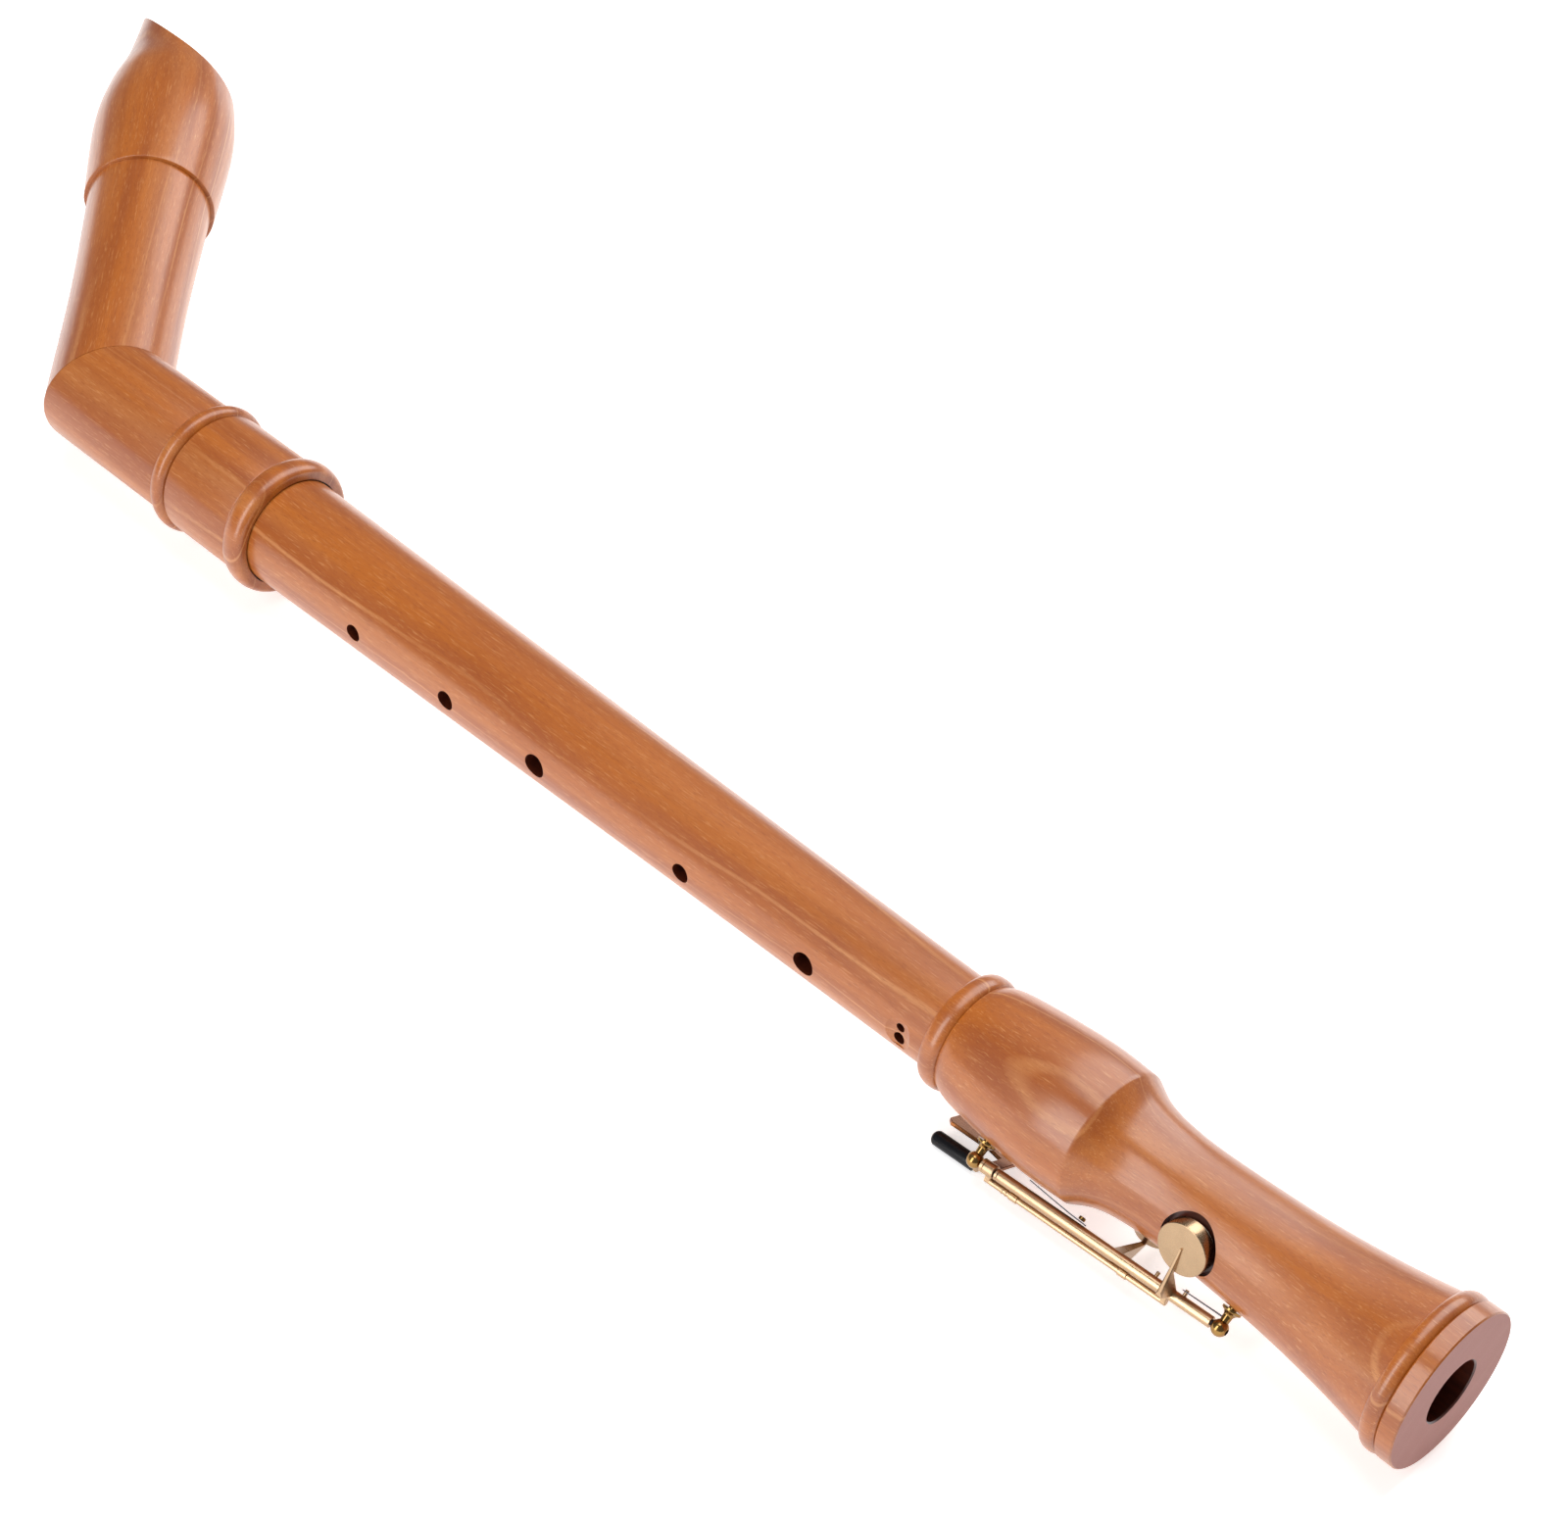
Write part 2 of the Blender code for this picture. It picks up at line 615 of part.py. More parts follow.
def head_outline():
    """The upper piece's outer side, from the beak's tip down past the elbow."""
    swell = BEAK_SWELL_RADIUS - BEAK_TIP_RADIUS
    reach = BEAK_TIP_DISTANCE - BEAK_SWELL_DISTANCE
    beak_line = [
        (BEAK_TIP_RADIUS, BEAK_TIP_DISTANCE),
        (BEAK_TIP_RADIUS + 0.30 * swell, BEAK_SWELL_DISTANCE + 0.63 * reach),
        (BEAK_TIP_RADIUS + 0.80 * swell, BEAK_SWELL_DISTANCE + 0.32 * reach),
        (BEAK_SWELL_RADIUS, BEAK_SWELL_DISTANCE),
        (STEP_RADIUS, STEP_DISTANCE),
    ]
    neck_line = [
        (NECK_RADIUS, STEP_DISTANCE),
        (0.2 * NECK_RADIUS + 0.8 * (ELBOW_RADIUS - GROOVE_DEPTH), 0.5 * STEP_DISTANCE),
        (ELBOW_RADIUS, 0),
    ]
    return smooth_line(beak_line) + smooth_line(neck_line) + [(ELBOW_RADIUS, -1.5 * ELBOW_RADIUS)]


def beak_cutter(name, bend, gap):
    """The hollow under the beak: a large cylinder across the head, lying toward the lip side."""
    tip = Vector((BEAK_TIP_RADIUS - 1.6 * MM, 0, BEAK_TIP_DISTANCE + gap))
    heel = Vector((-BEAK_SWELL_RADIUS, 0, BEAK_HEEL_DISTANCE + gap))
    chord = heel - tip
    middle = (tip + heel) / 2
    away = Vector((-chord.z, 0, chord.x)).normalized()
    if away.z < 0:
        away = -away
    centre = middle + away * math.sqrt(BEAK_CUT_RADIUS**2 - (chord.length / 2) ** 2)
    half = Vector((0, 2 * BEAK_SWELL_RADIUS, 0))
    return rod_between(name, centre - half, centre + half, BEAK_CUT_RADIUS, bend, None, BEAK_CUT_SIDES)


def make_head(bend):
    line = head_outline()
    line += [(HEAD_BORE_RADIUS, -1.5 * ELBOW_RADIUS), (HEAD_BORE_RADIUS, BEAK_TIP_DISTANCE)]
    piece = turned("head_beak_piece", line, bend, Matrix(), PEARWOOD)
    combine(piece, mitre_cutter("beak_mitre_cutter", bend.parent, False))
    combine(piece, beak_cutter("beak_cutter", bend, 0))
    open_windway(piece, bend)
    combine(piece, ramp_cutter(bend))


def open_windway(piece, bend):
    """The flat slot above the block, and the window where the air meets the lip."""
    length = 1.1 * (BEAK_TIP_DISTANCE - WINDOW_DISTANCE)
    slot_middle = (WINDWAY_ROOF / 2, 0, WINDOW_DISTANCE + length / 2)
    slot_size = (WINDWAY_ROOF, WINDWAY_WIDTH, length)
    combine(piece, box("windway_cutter", slot_size, bend, Matrix.Translation(slot_middle)))
    window_x = (BEAK_SWELL_RADIUS + WINDWAY_FLOOR) / 2
    window_middle = (window_x, 0, WINDOW_DISTANCE + WINDOW_LENGTH / 2)
    window_size = (BEAK_SWELL_RADIUS, WINDWAY_WIDTH, WINDOW_LENGTH)
    combine(piece, box("window_cutter", window_size, bend, Matrix.Translation(window_middle)))


def ramp_cutter(bend):
    """The sloped lip below the window, which leaves a thin edge at the window."""
    edge = HEAD_BORE_RADIUS + LIP_THICKNESS
    outside = 2 * BEAK_SWELL_RADIUS
    top = WINDOW_DISTANCE + 0.01 * MM
    outline = [
        (edge, top),
        (outside, top),
        (outside, WINDOW_DISTANCE - RAMP_LENGTH),
        (BEAK_SWELL_RADIUS - 0.5 * MM, WINDOW_DISTANCE - RAMP_LENGTH),
    ]
    return prism("ramp_cutter", outline, WINDWAY_WIDTH, bend, frame((0, 0, 0), (0, -1, 0), (1, 0, 0)))


def make_block(bend):
    radius = HEAD_BORE_RADIUS - SEAT_GAP
    bottom = WINDOW_DISTANCE + WINDOW_LENGTH
    profile = [(0, BEAK_TIP_DISTANCE), (radius, BEAK_TIP_DISTANCE), (radius, bottom), (0, bottom)]
    block = turned("fipple_block", profile, bend, Matrix(), CEDAR)
    combine(block, beak_cutter("block_beak_cutter", bend, -0.1 * MM))
    size = (radius, 3 * radius, 2 * BEAK_TIP_DISTANCE)
    centre = Matrix.Translation((WINDWAY_FLOOR + radius / 2, 0, BEAK_TIP_DISTANCE))
    combine(block, box("windway_floor_cutter", size, bend, centre))


# ---------------------------------------------------------------- keys


def pillar_profile(radius=PILLAR_BALL_RADIUS, steps=7):
    """A pillar from the top of its ball down to the end of its shank."""
    ball_top = PILLAR_HEIGHT + radius
    join = math.asin(PILLAR_NECK_RADIUS / radius)
    line = [(0, ball_top)]
    for step in range(1, steps + 1):
        angle = (math.pi - join) * step / steps
        line.append((radius * math.sin(angle), PILLAR_HEIGHT + radius * math.cos(angle)))
    flange = SEAT_GAP + 0.8 * MM
    line += [
        (PILLAR_NECK_RADIUS, 0.45 * PILLAR_HEIGHT),
        (0.75 * PILLAR_FOOT_RADIUS, flange),
        (PILLAR_FOOT_RADIUS, flange - 0.2 * MM),
        (PILLAR_FOOT_RADIUS, SEAT_GAP),
        (PILLAR_SHANK_RADIUS, SEAT_GAP),
        (PILLAR_SHANK_RADIUS, -PILLAR_SHANK_LENGTH),
        (0, -PILLAR_SHANK_LENGTH),
    ]
    return line


def make_pillars(recorder):
    for name, station in (("upper_pillar", UPPER_PILLAR_STATION), ("lower_pillar", LOWER_PILLAR_STATION)):
        base = at(station, wood_radius(station), HINGE_ANGLE)
        place = frame(base, outward(HINGE_ANGLE), (1, 0, 0))
        pillar = turned(name, pillar_profile(), recorder, place, PILLAR_BRASS, SMALL_SIDES)
        start, end = station + PILLAR_BALL_RADIUS, station - PILLAR_BALL_RADIUS
        open_bearing(pillar, name + "_bore_cutter", start, end, recorder)
    inset = PILLAR_BALL_RADIUS - ROD_END_INSET
    start, end = hinge_at(UPPER_PILLAR_STATION + inset), hinge_at(LOWER_PILLAR_STATION - inset)
    rod_between("hinge_rod", start, end, HINGE_ROD_RADIUS, recorder, STEEL, ROD_SIDES)


def hinge_frame():
    """Local Z runs down the hinge line toward the bell."""
    upper_end, lower_end = HINGE_ENDS
    return frame(upper_end, lower_end - upper_end)


def make_pivot(name, recorder, turn):
    """An empty on the hinge line. Its pieces are placed as if pressed shut, then turned with it."""
    pivot = empty(name, recorder, hinge_frame() @ Matrix.Rotation(turn, 4, "Z"))
    UNTURNED[name] = hinge_frame()
    return pivot


def arm(name, station, cup_centre, normal, root_height, pivot):
    """A fin from the hinge tube to the middle of a pad cup, lying on the cup's face."""
    to_hinge = hinge_at(station) - cup_centre
    drop = to_hinge.dot(normal)
    across = to_hinge - normal * drop
    span = across.length
    across.normalize()
    side = across.cross(normal)
    place = Matrix.Translation(cup_centre) @ Matrix((across, normal, side)).transposed().to_4x4()
    clear_of_cup = PAD_CUP_RADIUS + SEAT_GAP
    outline = [
        (-0.5 * MM, SEAT_GAP),
        (clear_of_cup, SEAT_GAP),
        (span - 0.7 * HINGE_TUBE_RADIUS, drop - 0.6 * HINGE_TUBE_RADIUS),
        (span - 0.35 * HINGE_TUBE_RADIUS, drop + 0.8 * HINGE_TUBE_RADIUS),
        (span - 1.1 * HINGE_TUBE_RADIUS, drop + HINGE_TUBE_RADIUS + 0.9 * root_height),
        (span - 2.1 * HINGE_TUBE_RADIUS, drop + HINGE_TUBE_RADIUS + root_height),
        (-0.5 * MM, SEAT_GAP + 0.5 * MM),
    ]
    return prism(name, outline, ARM_THICKNESS, pivot, place)


def make_cup(name, station, angle, pivot):
    """A pad and its cup, shut on their tone hole. Returns the centre and normal of the cup's face."""
    seat = at(station, PAD_SEAT_FLOOR + SEAT_GAP, angle)
    place = frame(seat, outward(angle), (1, 0, 0))
    pad_line = [(0, PAD_THICKNESS), (PAD_RADIUS, PAD_THICKNESS), (PAD_RADIUS, 0), (0, 0)]
    turned(name + "_pad", pad_line, pivot, place, PAD_SKIN, PAD_SIDES)
    base = PAD_THICKNESS + CORK_GAP
    top = base + PAD_CUP_THICKNESS
    skirt = base - 0.5 * PAD_THICKNESS
    rim = 0.4 * MM
    cup_line = [
        (0, top),
        (PAD_CUP_RADIUS - rim, top),
        (PAD_CUP_RADIUS, top - rim),
        (PAD_CUP_RADIUS, skirt),
        (PAD_RADIUS + CORK_GAP, skirt),
        (PAD_RADIUS + CORK_GAP, base),
        (0, base),
    ]
    turned(name + "_pad_cup", cup_line, pivot, place, KEY_BRASS, PAD_SIDES)
    return seat + outward(angle) * top, outward(angle)


def strap(name, station, reach, side, width, thickness, pivot):
    """A flat link across the hinge line, from its centre to a rod beside it."""
    direction = outward(side)
    centre = hinge_at(station) + direction * (reach / 2)
    place = frame(centre, HINGE_ENDS[1] - HINGE_ENDS[0], direction)
    return box(name, (reach, width, thickness), pivot, place)


def hinge_tube(name, start, end, radius, pivot, finish=None):
    return rod_between(name, hinge_at(start), hinge_at(end), radius, pivot, finish)


def side_rod(name, start, end, reach, side, radius, pivot):
    ends = [beside_hinge(station, reach, side) for station in (start, end)]
    return rod_between(name, *ends, radius, pivot, None, ROD_SIDES)


def stud(name, station, length, radius, pivot):
    """A short pin from the hinge line toward the wood."""
    base = hinge_at(station)
    return rod_between(name, base, base - outward(HINGE_ANGLE) * length, radius, pivot, None, ROD_SIDES)


def open_bearing(lever, name, start, end, pivot):
    """The hole for the hinge rod, from one station to another and a little past both."""
    past = 2 * MM
    radius = HINGE_ROD_RADIUS + BEARING_GAP
    cutter = rod_between(name, hinge_at(start + past), hinge_at(end - past), radius, pivot, None, ROD_SIDES)
    combine(lever, cutter)


def make_c_key(recorder):
    """The long key: it stands open, and its roller is pressed to shut it."""
    pivot = make_pivot("c_key_pivot", recorder, -TRAVEL)
    face, normal = make_cup("c_key", C_STATION, C_ANGLE, pivot)
    start, end = LONG_TUBE_START, LONG_TUBE_END
    lever = hinge_tube("c_key_lever", start, end, HINGE_TUBE_RADIUS, pivot, KEY_BRASS)
    combine(lever, arm("c_key_arm", C_STATION, face, normal, LONG_ARM_HEIGHT, pivot), "UNION")
    strap_station = LONG_TUBE_START - 2 * MM
    width, thickness = 1.4 * MM, 1.8 * MM
    link = strap("c_key_strap", strap_station, ROLLER_REACH, ROLLER_SIDE, width, thickness, pivot)
    combine(lever, link, "UNION")
    roller_start = UPPER_PILLAR_STATION + PILLAR_BALL_RADIUS
    roller_end = roller_start + ROLLER_LENGTH
    axle_end = roller_end - ROLLER_RADIUS
    axle = side_rod(
        "roller_axle", strap_station, axle_end, ROLLER_REACH, ROLLER_SIDE, ROLLER_AXLE_RADIUS, pivot
    )
    combine(lever, axle, "UNION")
    collar_end = roller_start - SEAT_GAP
    collar_start = collar_end - ROLLER_COLLAR_LENGTH
    radius = 0.8 * ROLLER_RADIUS
    collar = side_rod("roller_collar", collar_start, collar_end, ROLLER_REACH, ROLLER_SIDE, radius, pivot)
    combine(lever, collar, "UNION")
    combine(lever, stud("c_key_stud", LONG_TUBE_END + 3 * MM, 2.7 * MM, STUD_RADIUS, pivot), "UNION")
    open_bearing(lever, "c_key_bearing", LONG_TUBE_START, LONG_TUBE_END, pivot)
    make_roller(pivot, roller_start, roller_end)
    make_flat_spring(pivot)


def make_roller(pivot, start, end):
    base, top = (beside_hinge(station, ROLLER_REACH, ROLLER_SIDE) for station in (start, end))
    length = (top - base).length
    dome = 0.8 * ROLLER_RADIUS
    bore = ROLLER_AXLE_RADIUS + BEARING_GAP
    line = [(0, length)]
    for step in range(1, 5):
        angle = math.pi / 2 * step / 4
        line.append((ROLLER_RADIUS * math.sin(angle), length - dome + dome * math.cos(angle)))
    bore_end = length - ROLLER_RADIUS + SEAT_GAP
    line += [(ROLLER_RADIUS, 0), (bore, 0), (bore, bore_end), (0, bore_end)]
    turned("touch_roller", line, pivot, frame(base, top - base), ROLLER_BLACK, SMALL_SIDES)


def make_flat_spring(pivot):
    """A leaf screwed under the long tube, whose free end presses on the barrel."""
    root = LONG_TUBE_START - 24 * MM
    tip = root + FLAT_SPRING_LENGTH
    under_tube = (hinge_at(root) - at(root)).length - HINGE_TUBE_RADIUS - SEAT_GAP
    on_wood = wood_radius(tip) + SEAT_GAP + FLAT_SPRING_THICKNESS
    thick = FLAT_SPRING_THICKNESS
    outline = [
        (-root + 1.5 * MM, under_tube),
        (-root - 2.5 * MM, under_tube),
        (-tip, on_wood),
        (-tip, on_wood - thick),
        (-root - 2.5 * MM, under_tube - thick),
        (-root + 1.5 * MM, under_tube - thick),
    ]
    place = Matrix((Vector((1, 0, 0)), outward(HINGE_ANGLE), Vector((1, 0, 0)).cross(outward(HINGE_ANGLE))))
    prism("c_key_flat_spring", outline, FLAT_SPRING_WIDTH, pivot, place.transposed().to_4x4(), STEEL)
    head = at(root, under_tube - thick - CORK_GAP, HINGE_ANGLE)
    screw_end = head - outward(HINGE_ANGLE) * 0.9 * MM
    rod_between("flat_spring_screw", head, screw_end, SPRING_SCREW_RADIUS, pivot, PILLAR_BRASS, 12)


def make_c_sharp_key(recorder):
    """The short key: it stands shut, and its plate is pressed to open it."""
    pivot = make_pivot("c_sharp_key_pivot", recorder, 0)
    face, normal = make_cup("c_sharp_key", C_SHARP_STATION, C_SHARP_ANGLE, pivot)
    start, end = LOWER_TUBE_START, LOWER_TUBE_END
    lever = hinge_tube("c_sharp_key_lever", start, end, HINGE_TUBE_RADIUS, pivot, KEY_BRASS)
    combine(lever, arm("c_sharp_arm", C_SHARP_STATION, face, normal, SHORT_ARM_HEIGHT, pivot), "UNION")
    knuckle = hinge_tube("c_sharp_knuckle", KNUCKLE_START, KNUCKLE_END, KNUCKLE_RADIUS, pivot)
    combine(lever, knuckle, "UNION")
    top_strap, low_strap = KNUCKLE_END + 1.2 * MM, LOWER_TUBE_START - 1.2 * MM
    for name, station in (("top", top_strap), ("low", low_strap)):
        link = strap(f"bridge_{name}_strap", station, BRIDGE_REACH, BRIDGE_SIDE, 1.6 * MM, 1.6 * MM, pivot)
        combine(lever, link, "UNION")
    start, end = top_strap + BRIDGE_ROD_RADIUS, low_strap - BRIDGE_ROD_RADIUS
    bridge = side_rod("bridge_rod", start, end, BRIDGE_REACH, BRIDGE_SIDE, BRIDGE_ROD_RADIUS, pivot)
    combine(lever, bridge, "UNION")
    for name, station in (("upper", UPPER_COLLAR_STATION), ("lower", LOWER_COLLAR_STATION)):
        end = station - COLLAR_LENGTH
        name = f"bridge_{name}_collar"
        collar = side_rod(name, station, end, BRIDGE_REACH, BRIDGE_SIDE, COLLAR_RADIUS, pivot)
        combine(lever, collar, "UNION")
    catch = stud("needle_catch", CATCH_STATION, NEEDLE_REACH + STUD_RADIUS, STUD_RADIUS, pivot)
    combine(lever, catch, "UNION")
    open_bearing(lever, "c_sharp_low_bearing", LOWER_TUBE_START, LOWER_TUBE_END, pivot)
    open_bearing(lever, "c_sharp_top_bearing", KNUCKLE_START, KNUCKLE_END, pivot)
    make_touch_plate(pivot)


def make_touch_plate(pivot):
    """A plate in a plane through the hinge line, on an arm from the knuckle."""
    near, far = PLATE_REACH, PLATE_REACH + PLATE_WIDTH
    root = KNUCKLE_RADIUS + SEAT_GAP
    plate_start = UPPER_PILLAR_STATION + PILLAR_BALL_RADIUS
    plate_end = plate_start + PLATE_LENGTH
    arm_start, arm_end = KNUCKLE_END + 0.4 * MM, KNUCKLE_START - 0.4 * MM
    origin = hinge_at(KNUCKLE_END)
    corner = 1.5 * MM
    outline = [
        (root, arm_start),
        (near + 0.6 * PLATE_WIDTH, arm_start),
        (far, plate_start),
        (far, plate_end - corner),
        (far - corner, plate_end),
        (near + corner, plate_end),
        (near, plate_end - corner),
        (near, plate_start),
        (near - 1.5 * MM, arm_end),
        (root, arm_end),
    ]
    outline = [(reach, station - KNUCKLE_END) for reach, station in outline]
    side = outward(PLATE_SIDE)
    up = (HINGE_ENDS[0] - HINGE_ENDS[1]).normalized()
    side = (side - up * side.dot(up)).normalized()
    place = Matrix.Translation(origin) @ Matrix((side, up, side.cross(up))).transposed().to_4x4()
    prism("c_sharp_touch_plate", outline, PLATE_THICKNESS, pivot, place, KEY_BRASS)


def make_needle_spring(recorder):
    """A straight steel needle from the lower pillar's neck to the catch of the short key."""
    inward = -outward(HINGE_ANGLE) * NEEDLE_REACH
    beside = outward(HINGE_ANGLE + math.pi / 2) * (STUD_RADIUS + NEEDLE_RADIUS + 2 * BEARING_GAP)
    start = hinge_at(LOWER_PILLAR_STATION + PILLAR_NECK_RADIUS + SEAT_GAP) + inward
    end = hinge_at(CATCH_STATION + 1 * MM) + inward + beside
    rod_between("c_sharp_needle_spring", start, end, NEEDLE_RADIUS, recorder, STEEL, 8)


def stand_on_origin(recorder):
    """Moves the recorder so that the bottom centre of its box is at the origin."""
    graph = bpy.context.evaluated_depsgraph_get()
    low, high = Vector((9, 9, 9)), Vector((-9, -9, -9))
    for obj in PARTS.objects:
        if obj.type != "MESH":
            continue
        shape = obj.evaluated_get(graph)
        for vertex in shape.data.vertices:
            place = shape.matrix_world @ vertex.co
            low = Vector(map(min, low, place))
            high = Vector(map(max, high, place))
    middle = (low + high) / 2
    recorder.location = (-middle.x, -middle.y, -low.z)


def main():
    recorder = empty("recorder")
    head = empty("head_turn", recorder, Matrix.Rotation(HEAD_TURN, 4, "X"))
    bend = empty("head_bend", head, bend_frame())
    make_foot(recorder)
    make_middle(recorder)
    make_corks(recorder)
    make_elbow_socket(head)
    make_head(bend)
    make_block(bend)
    make_pillars(recorder)
    make_c_key(recorder)
    make_c_sharp_key(recorder)
    make_needle_spring(recorder)
    bpy.context.view_layer.update()
    stand_on_origin(recorder)


main()
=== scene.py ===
"""A tenor recorder with a bent neck and a double foot key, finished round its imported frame.

The recorder lies along X with the bell at +X. Its bore axis passes through BELL, the middle of the
bell's end face. A station is a distance from that face along the bore, and an angle is measured
round the bore from the finger-hole side, -Y, toward +Z. Lengths inside the file are in metres.
"""

import json
import math

import bmesh
import bpy
from bpy.props import FloatProperty, FloatVectorProperty, IntProperty, PointerProperty
from mathutils import Matrix, Vector


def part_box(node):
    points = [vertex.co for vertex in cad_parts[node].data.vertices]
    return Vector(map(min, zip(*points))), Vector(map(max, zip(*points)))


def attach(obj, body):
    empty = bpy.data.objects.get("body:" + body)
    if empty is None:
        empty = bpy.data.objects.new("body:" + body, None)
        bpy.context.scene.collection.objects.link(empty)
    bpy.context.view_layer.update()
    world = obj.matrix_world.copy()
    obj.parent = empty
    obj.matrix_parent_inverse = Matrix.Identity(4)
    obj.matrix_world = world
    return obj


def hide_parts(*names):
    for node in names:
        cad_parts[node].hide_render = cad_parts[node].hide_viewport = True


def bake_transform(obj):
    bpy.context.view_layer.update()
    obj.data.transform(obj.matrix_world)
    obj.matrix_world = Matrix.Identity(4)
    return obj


bl_info = {
    "name": "Tenor Recorder Finish",
    "version": (1, 0, 0),
    "blender": (4, 5, 0),
    "location": "3D View > Sidebar > Recorder",
    "description": "Builds the turned wood and the keys of a bent-neck tenor recorder",
    "category": "Object",
}

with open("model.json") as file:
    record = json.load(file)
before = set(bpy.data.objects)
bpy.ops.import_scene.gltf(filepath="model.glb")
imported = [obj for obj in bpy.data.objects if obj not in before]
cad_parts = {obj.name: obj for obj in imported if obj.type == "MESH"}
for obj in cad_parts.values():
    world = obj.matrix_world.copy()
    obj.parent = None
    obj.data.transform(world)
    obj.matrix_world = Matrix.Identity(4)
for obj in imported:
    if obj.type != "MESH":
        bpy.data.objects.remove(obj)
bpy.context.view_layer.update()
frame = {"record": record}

MM = 0.001
DEG = math.pi / 180


def joint_named(name):
    """The record's entry for a joint."""
    joints = frame["record"]["behaviour"]["joints"]
    return next(joint for joint in joints if joint["name"] == name)


FOOT_LOW, FOOT_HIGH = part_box("foot_joint")
BELL = Vector((FOOT_HIGH.x, (FOOT_LOW.y + FOOT_HIGH.y) / 2, (FOOT_LOW.z + FOOT_HIGH.z) / 2))
KEY_JOINT = joint_named("c_key_hinge")
HINGE_TOP = Vector(KEY_JOINT["pos_m"])
HINGE_AXIS = Vector(KEY_JOINT["axis"]).normalized()
TRAVEL = max(KEY_JOINT["range_deg"]) * DEG

SEAT_GAP = 0.3 * MM
CORK_GAP = 0.2 * MM
BEARING_GAP = 0.15 * MM

# Foot joint
BELL_RADIUS = 21.2 * MM
PLINTH_LENGTH = 4.7 * MM
BELL_BEAD_END = 9.5 * MM
BELL_BEAD_RADIUS = 21.4 * MM
BELL_NECK_RADIUS = 19.7 * MM
WAIST_STATION = 72 * MM
WAIST_RADIUS = 13.5 * MM
RIDGE_STATION = 99.3 * MM
RIDGE_RADIUS = 18.35 * MM
BARREL_STATION = 112 * MM
BARREL_RADIUS = 18.7 * MM
FOOT_LENGTH = 147.6 * MM
FOOT_BEAD_START = 142 * MM
FOOT_BEAD_RADIUS = 15.9 * MM
FOOT_GROOVE_RADIUS = 14.9 * MM
FOOT_BORE = 8.2 * MM
QUIRK = 0.6 * MM

# Middle joint
MIDDLE_TOP = 398.2 * MM
MIDDLE_LOW_RADIUS = 13.0 * MM
MIDDLE_TOP_RADIUS = 15.8 * MM
MIDDLE_TOP_BORE = 11.0 * MM
LOWER_TENON = 25 * MM
LOWER_TENON_RADIUS = 11.0 * MM
UPPER_TENON = 27 * MM
UPPER_TENON_RADIUS = 13.5 * MM
CORK_LENGTH = 14 * MM
CORK_DEPTH = 1.0 * MM
SOCKET_CLEARANCE = 0.4 * MM
FINGER_HOLES = (
    (354.6 * MM, 5.0 * MM),
    (318.0 * MM, 5.6 * MM),
    (283.8 * MM, 6.8 * MM),
    (230.4 * MM, 5.4 * MM),
    (187.6 * MM, 6.6 * MM),
)
DOUBLE_HOLE_STATION = 155.9 * MM
DOUBLE_HOLES = ((3.4 * MM, -1.8 * MM), (2.6 * MM, 1.8 * MM))
SCOOP_RADIUS = 8.5 * MM
SCOOP_DEPTH = 0.9 * MM
SCOOP_WIDTH = 8.4 * MM
THUMB_STATION = 363.2 * MM
THUMB_DIAMETER = 6.4 * MM

# Head
SOCKET_MOUTH = 2.0 * MM
SOCKET_BEAD_LENGTH = 7.4 * MM
SOCKET_BEAD_RADIUS = 20.0 * MM
SOCKET_WALL_RADIUS = 18.2 * MM
THIN_BEAD_START = 432.4 * MM
THIN_BEAD_LENGTH = 5.4 * MM
THIN_BEAD_RADIUS = 19.6 * MM
ELBOW_STATION = 480.6 * MM
ELBOW_RADIUS = 17.4 * MM
HEAD_BORE = 12.3 * MM
BEND = 46.2 * DEG
HEAD_TURN = 7.5 * DEG
STEP_DISTANCE = 84.2 * MM
NECK_RADIUS = 18.5 * MM
STEP_RADIUS = 19.7 * MM
SWELL_DISTANCE = 114 * MM
SWELL_RADIUS = 21.5 * MM
TIP_DISTANCE = 170 * MM
TIP_RADIUS = 13.9 * MM
HEEL_DISTANCE = 133 * MM
BEAK_CUT_RADIUS = 75 * MM
WINDWAY_WIDTH = 12 * MM
WINDWAY_FLOOR = 10.9 * MM
WINDWAY_ROOF = 12.5 * MM
WINDOW_LENGTH = 5.5 * MM
WINDOW_DISTANCE = 103 * MM
RAMP_LENGTH = 24 * MM
LIP_THICKNESS = 0.6 * MM

# Keys
HINGE_ANGLE = -41 * DEG
UPPER_POST = 124.5 * MM
LOWER_POST = 51.5 * MM
POST_HEIGHT = 5.4 * MM
BALL_RADIUS = 1.95 * MM
BALL_SWELL = 0.2 * MM
POST_NECK_RADIUS = 0.95 * MM
POST_FOOT_RADIUS = 2.5 * MM
SHANK_LENGTH = 4.2 * MM
SHANK_RADIUS = 1.1 * MM
ROD_RADIUS = 0.65 * MM
TUBE_RADIUS = 1.5 * MM
KNUCKLE_RADIUS = 1.8 * MM
KNUCKLE_START = UPPER_POST - BALL_RADIUS - SEAT_GAP
KNUCKLE_END = KNUCKLE_START - 4 * MM
LONG_TUBE_START = KNUCKLE_END - SEAT_GAP
LOWER_TUBE_END = LOWER_POST + BALL_RADIUS + SEAT_GAP
LOWER_TUBE_START = LOWER_TUBE_END + 14 * MM
LONG_TUBE_END = LOWER_TUBE_START + SEAT_GAP
CUP_RADIUS = 6.8 * MM
CUP_THICKNESS = 2.7 * MM
PAD_RADIUS = 6.0 * MM
PAD_THICKNESS = 1.8 * MM
PAD_SEAT_RADIUS = 7.9 * MM
PAD_SEAT_FLOOR = 11.0 * MM
TONE_HOLE_RADIUS = 3.6 * MM
C_SHARP_STATION = 65.2 * MM
C_SHARP_ANGLE = 11 * DEG
C_STATION = 82 * MM
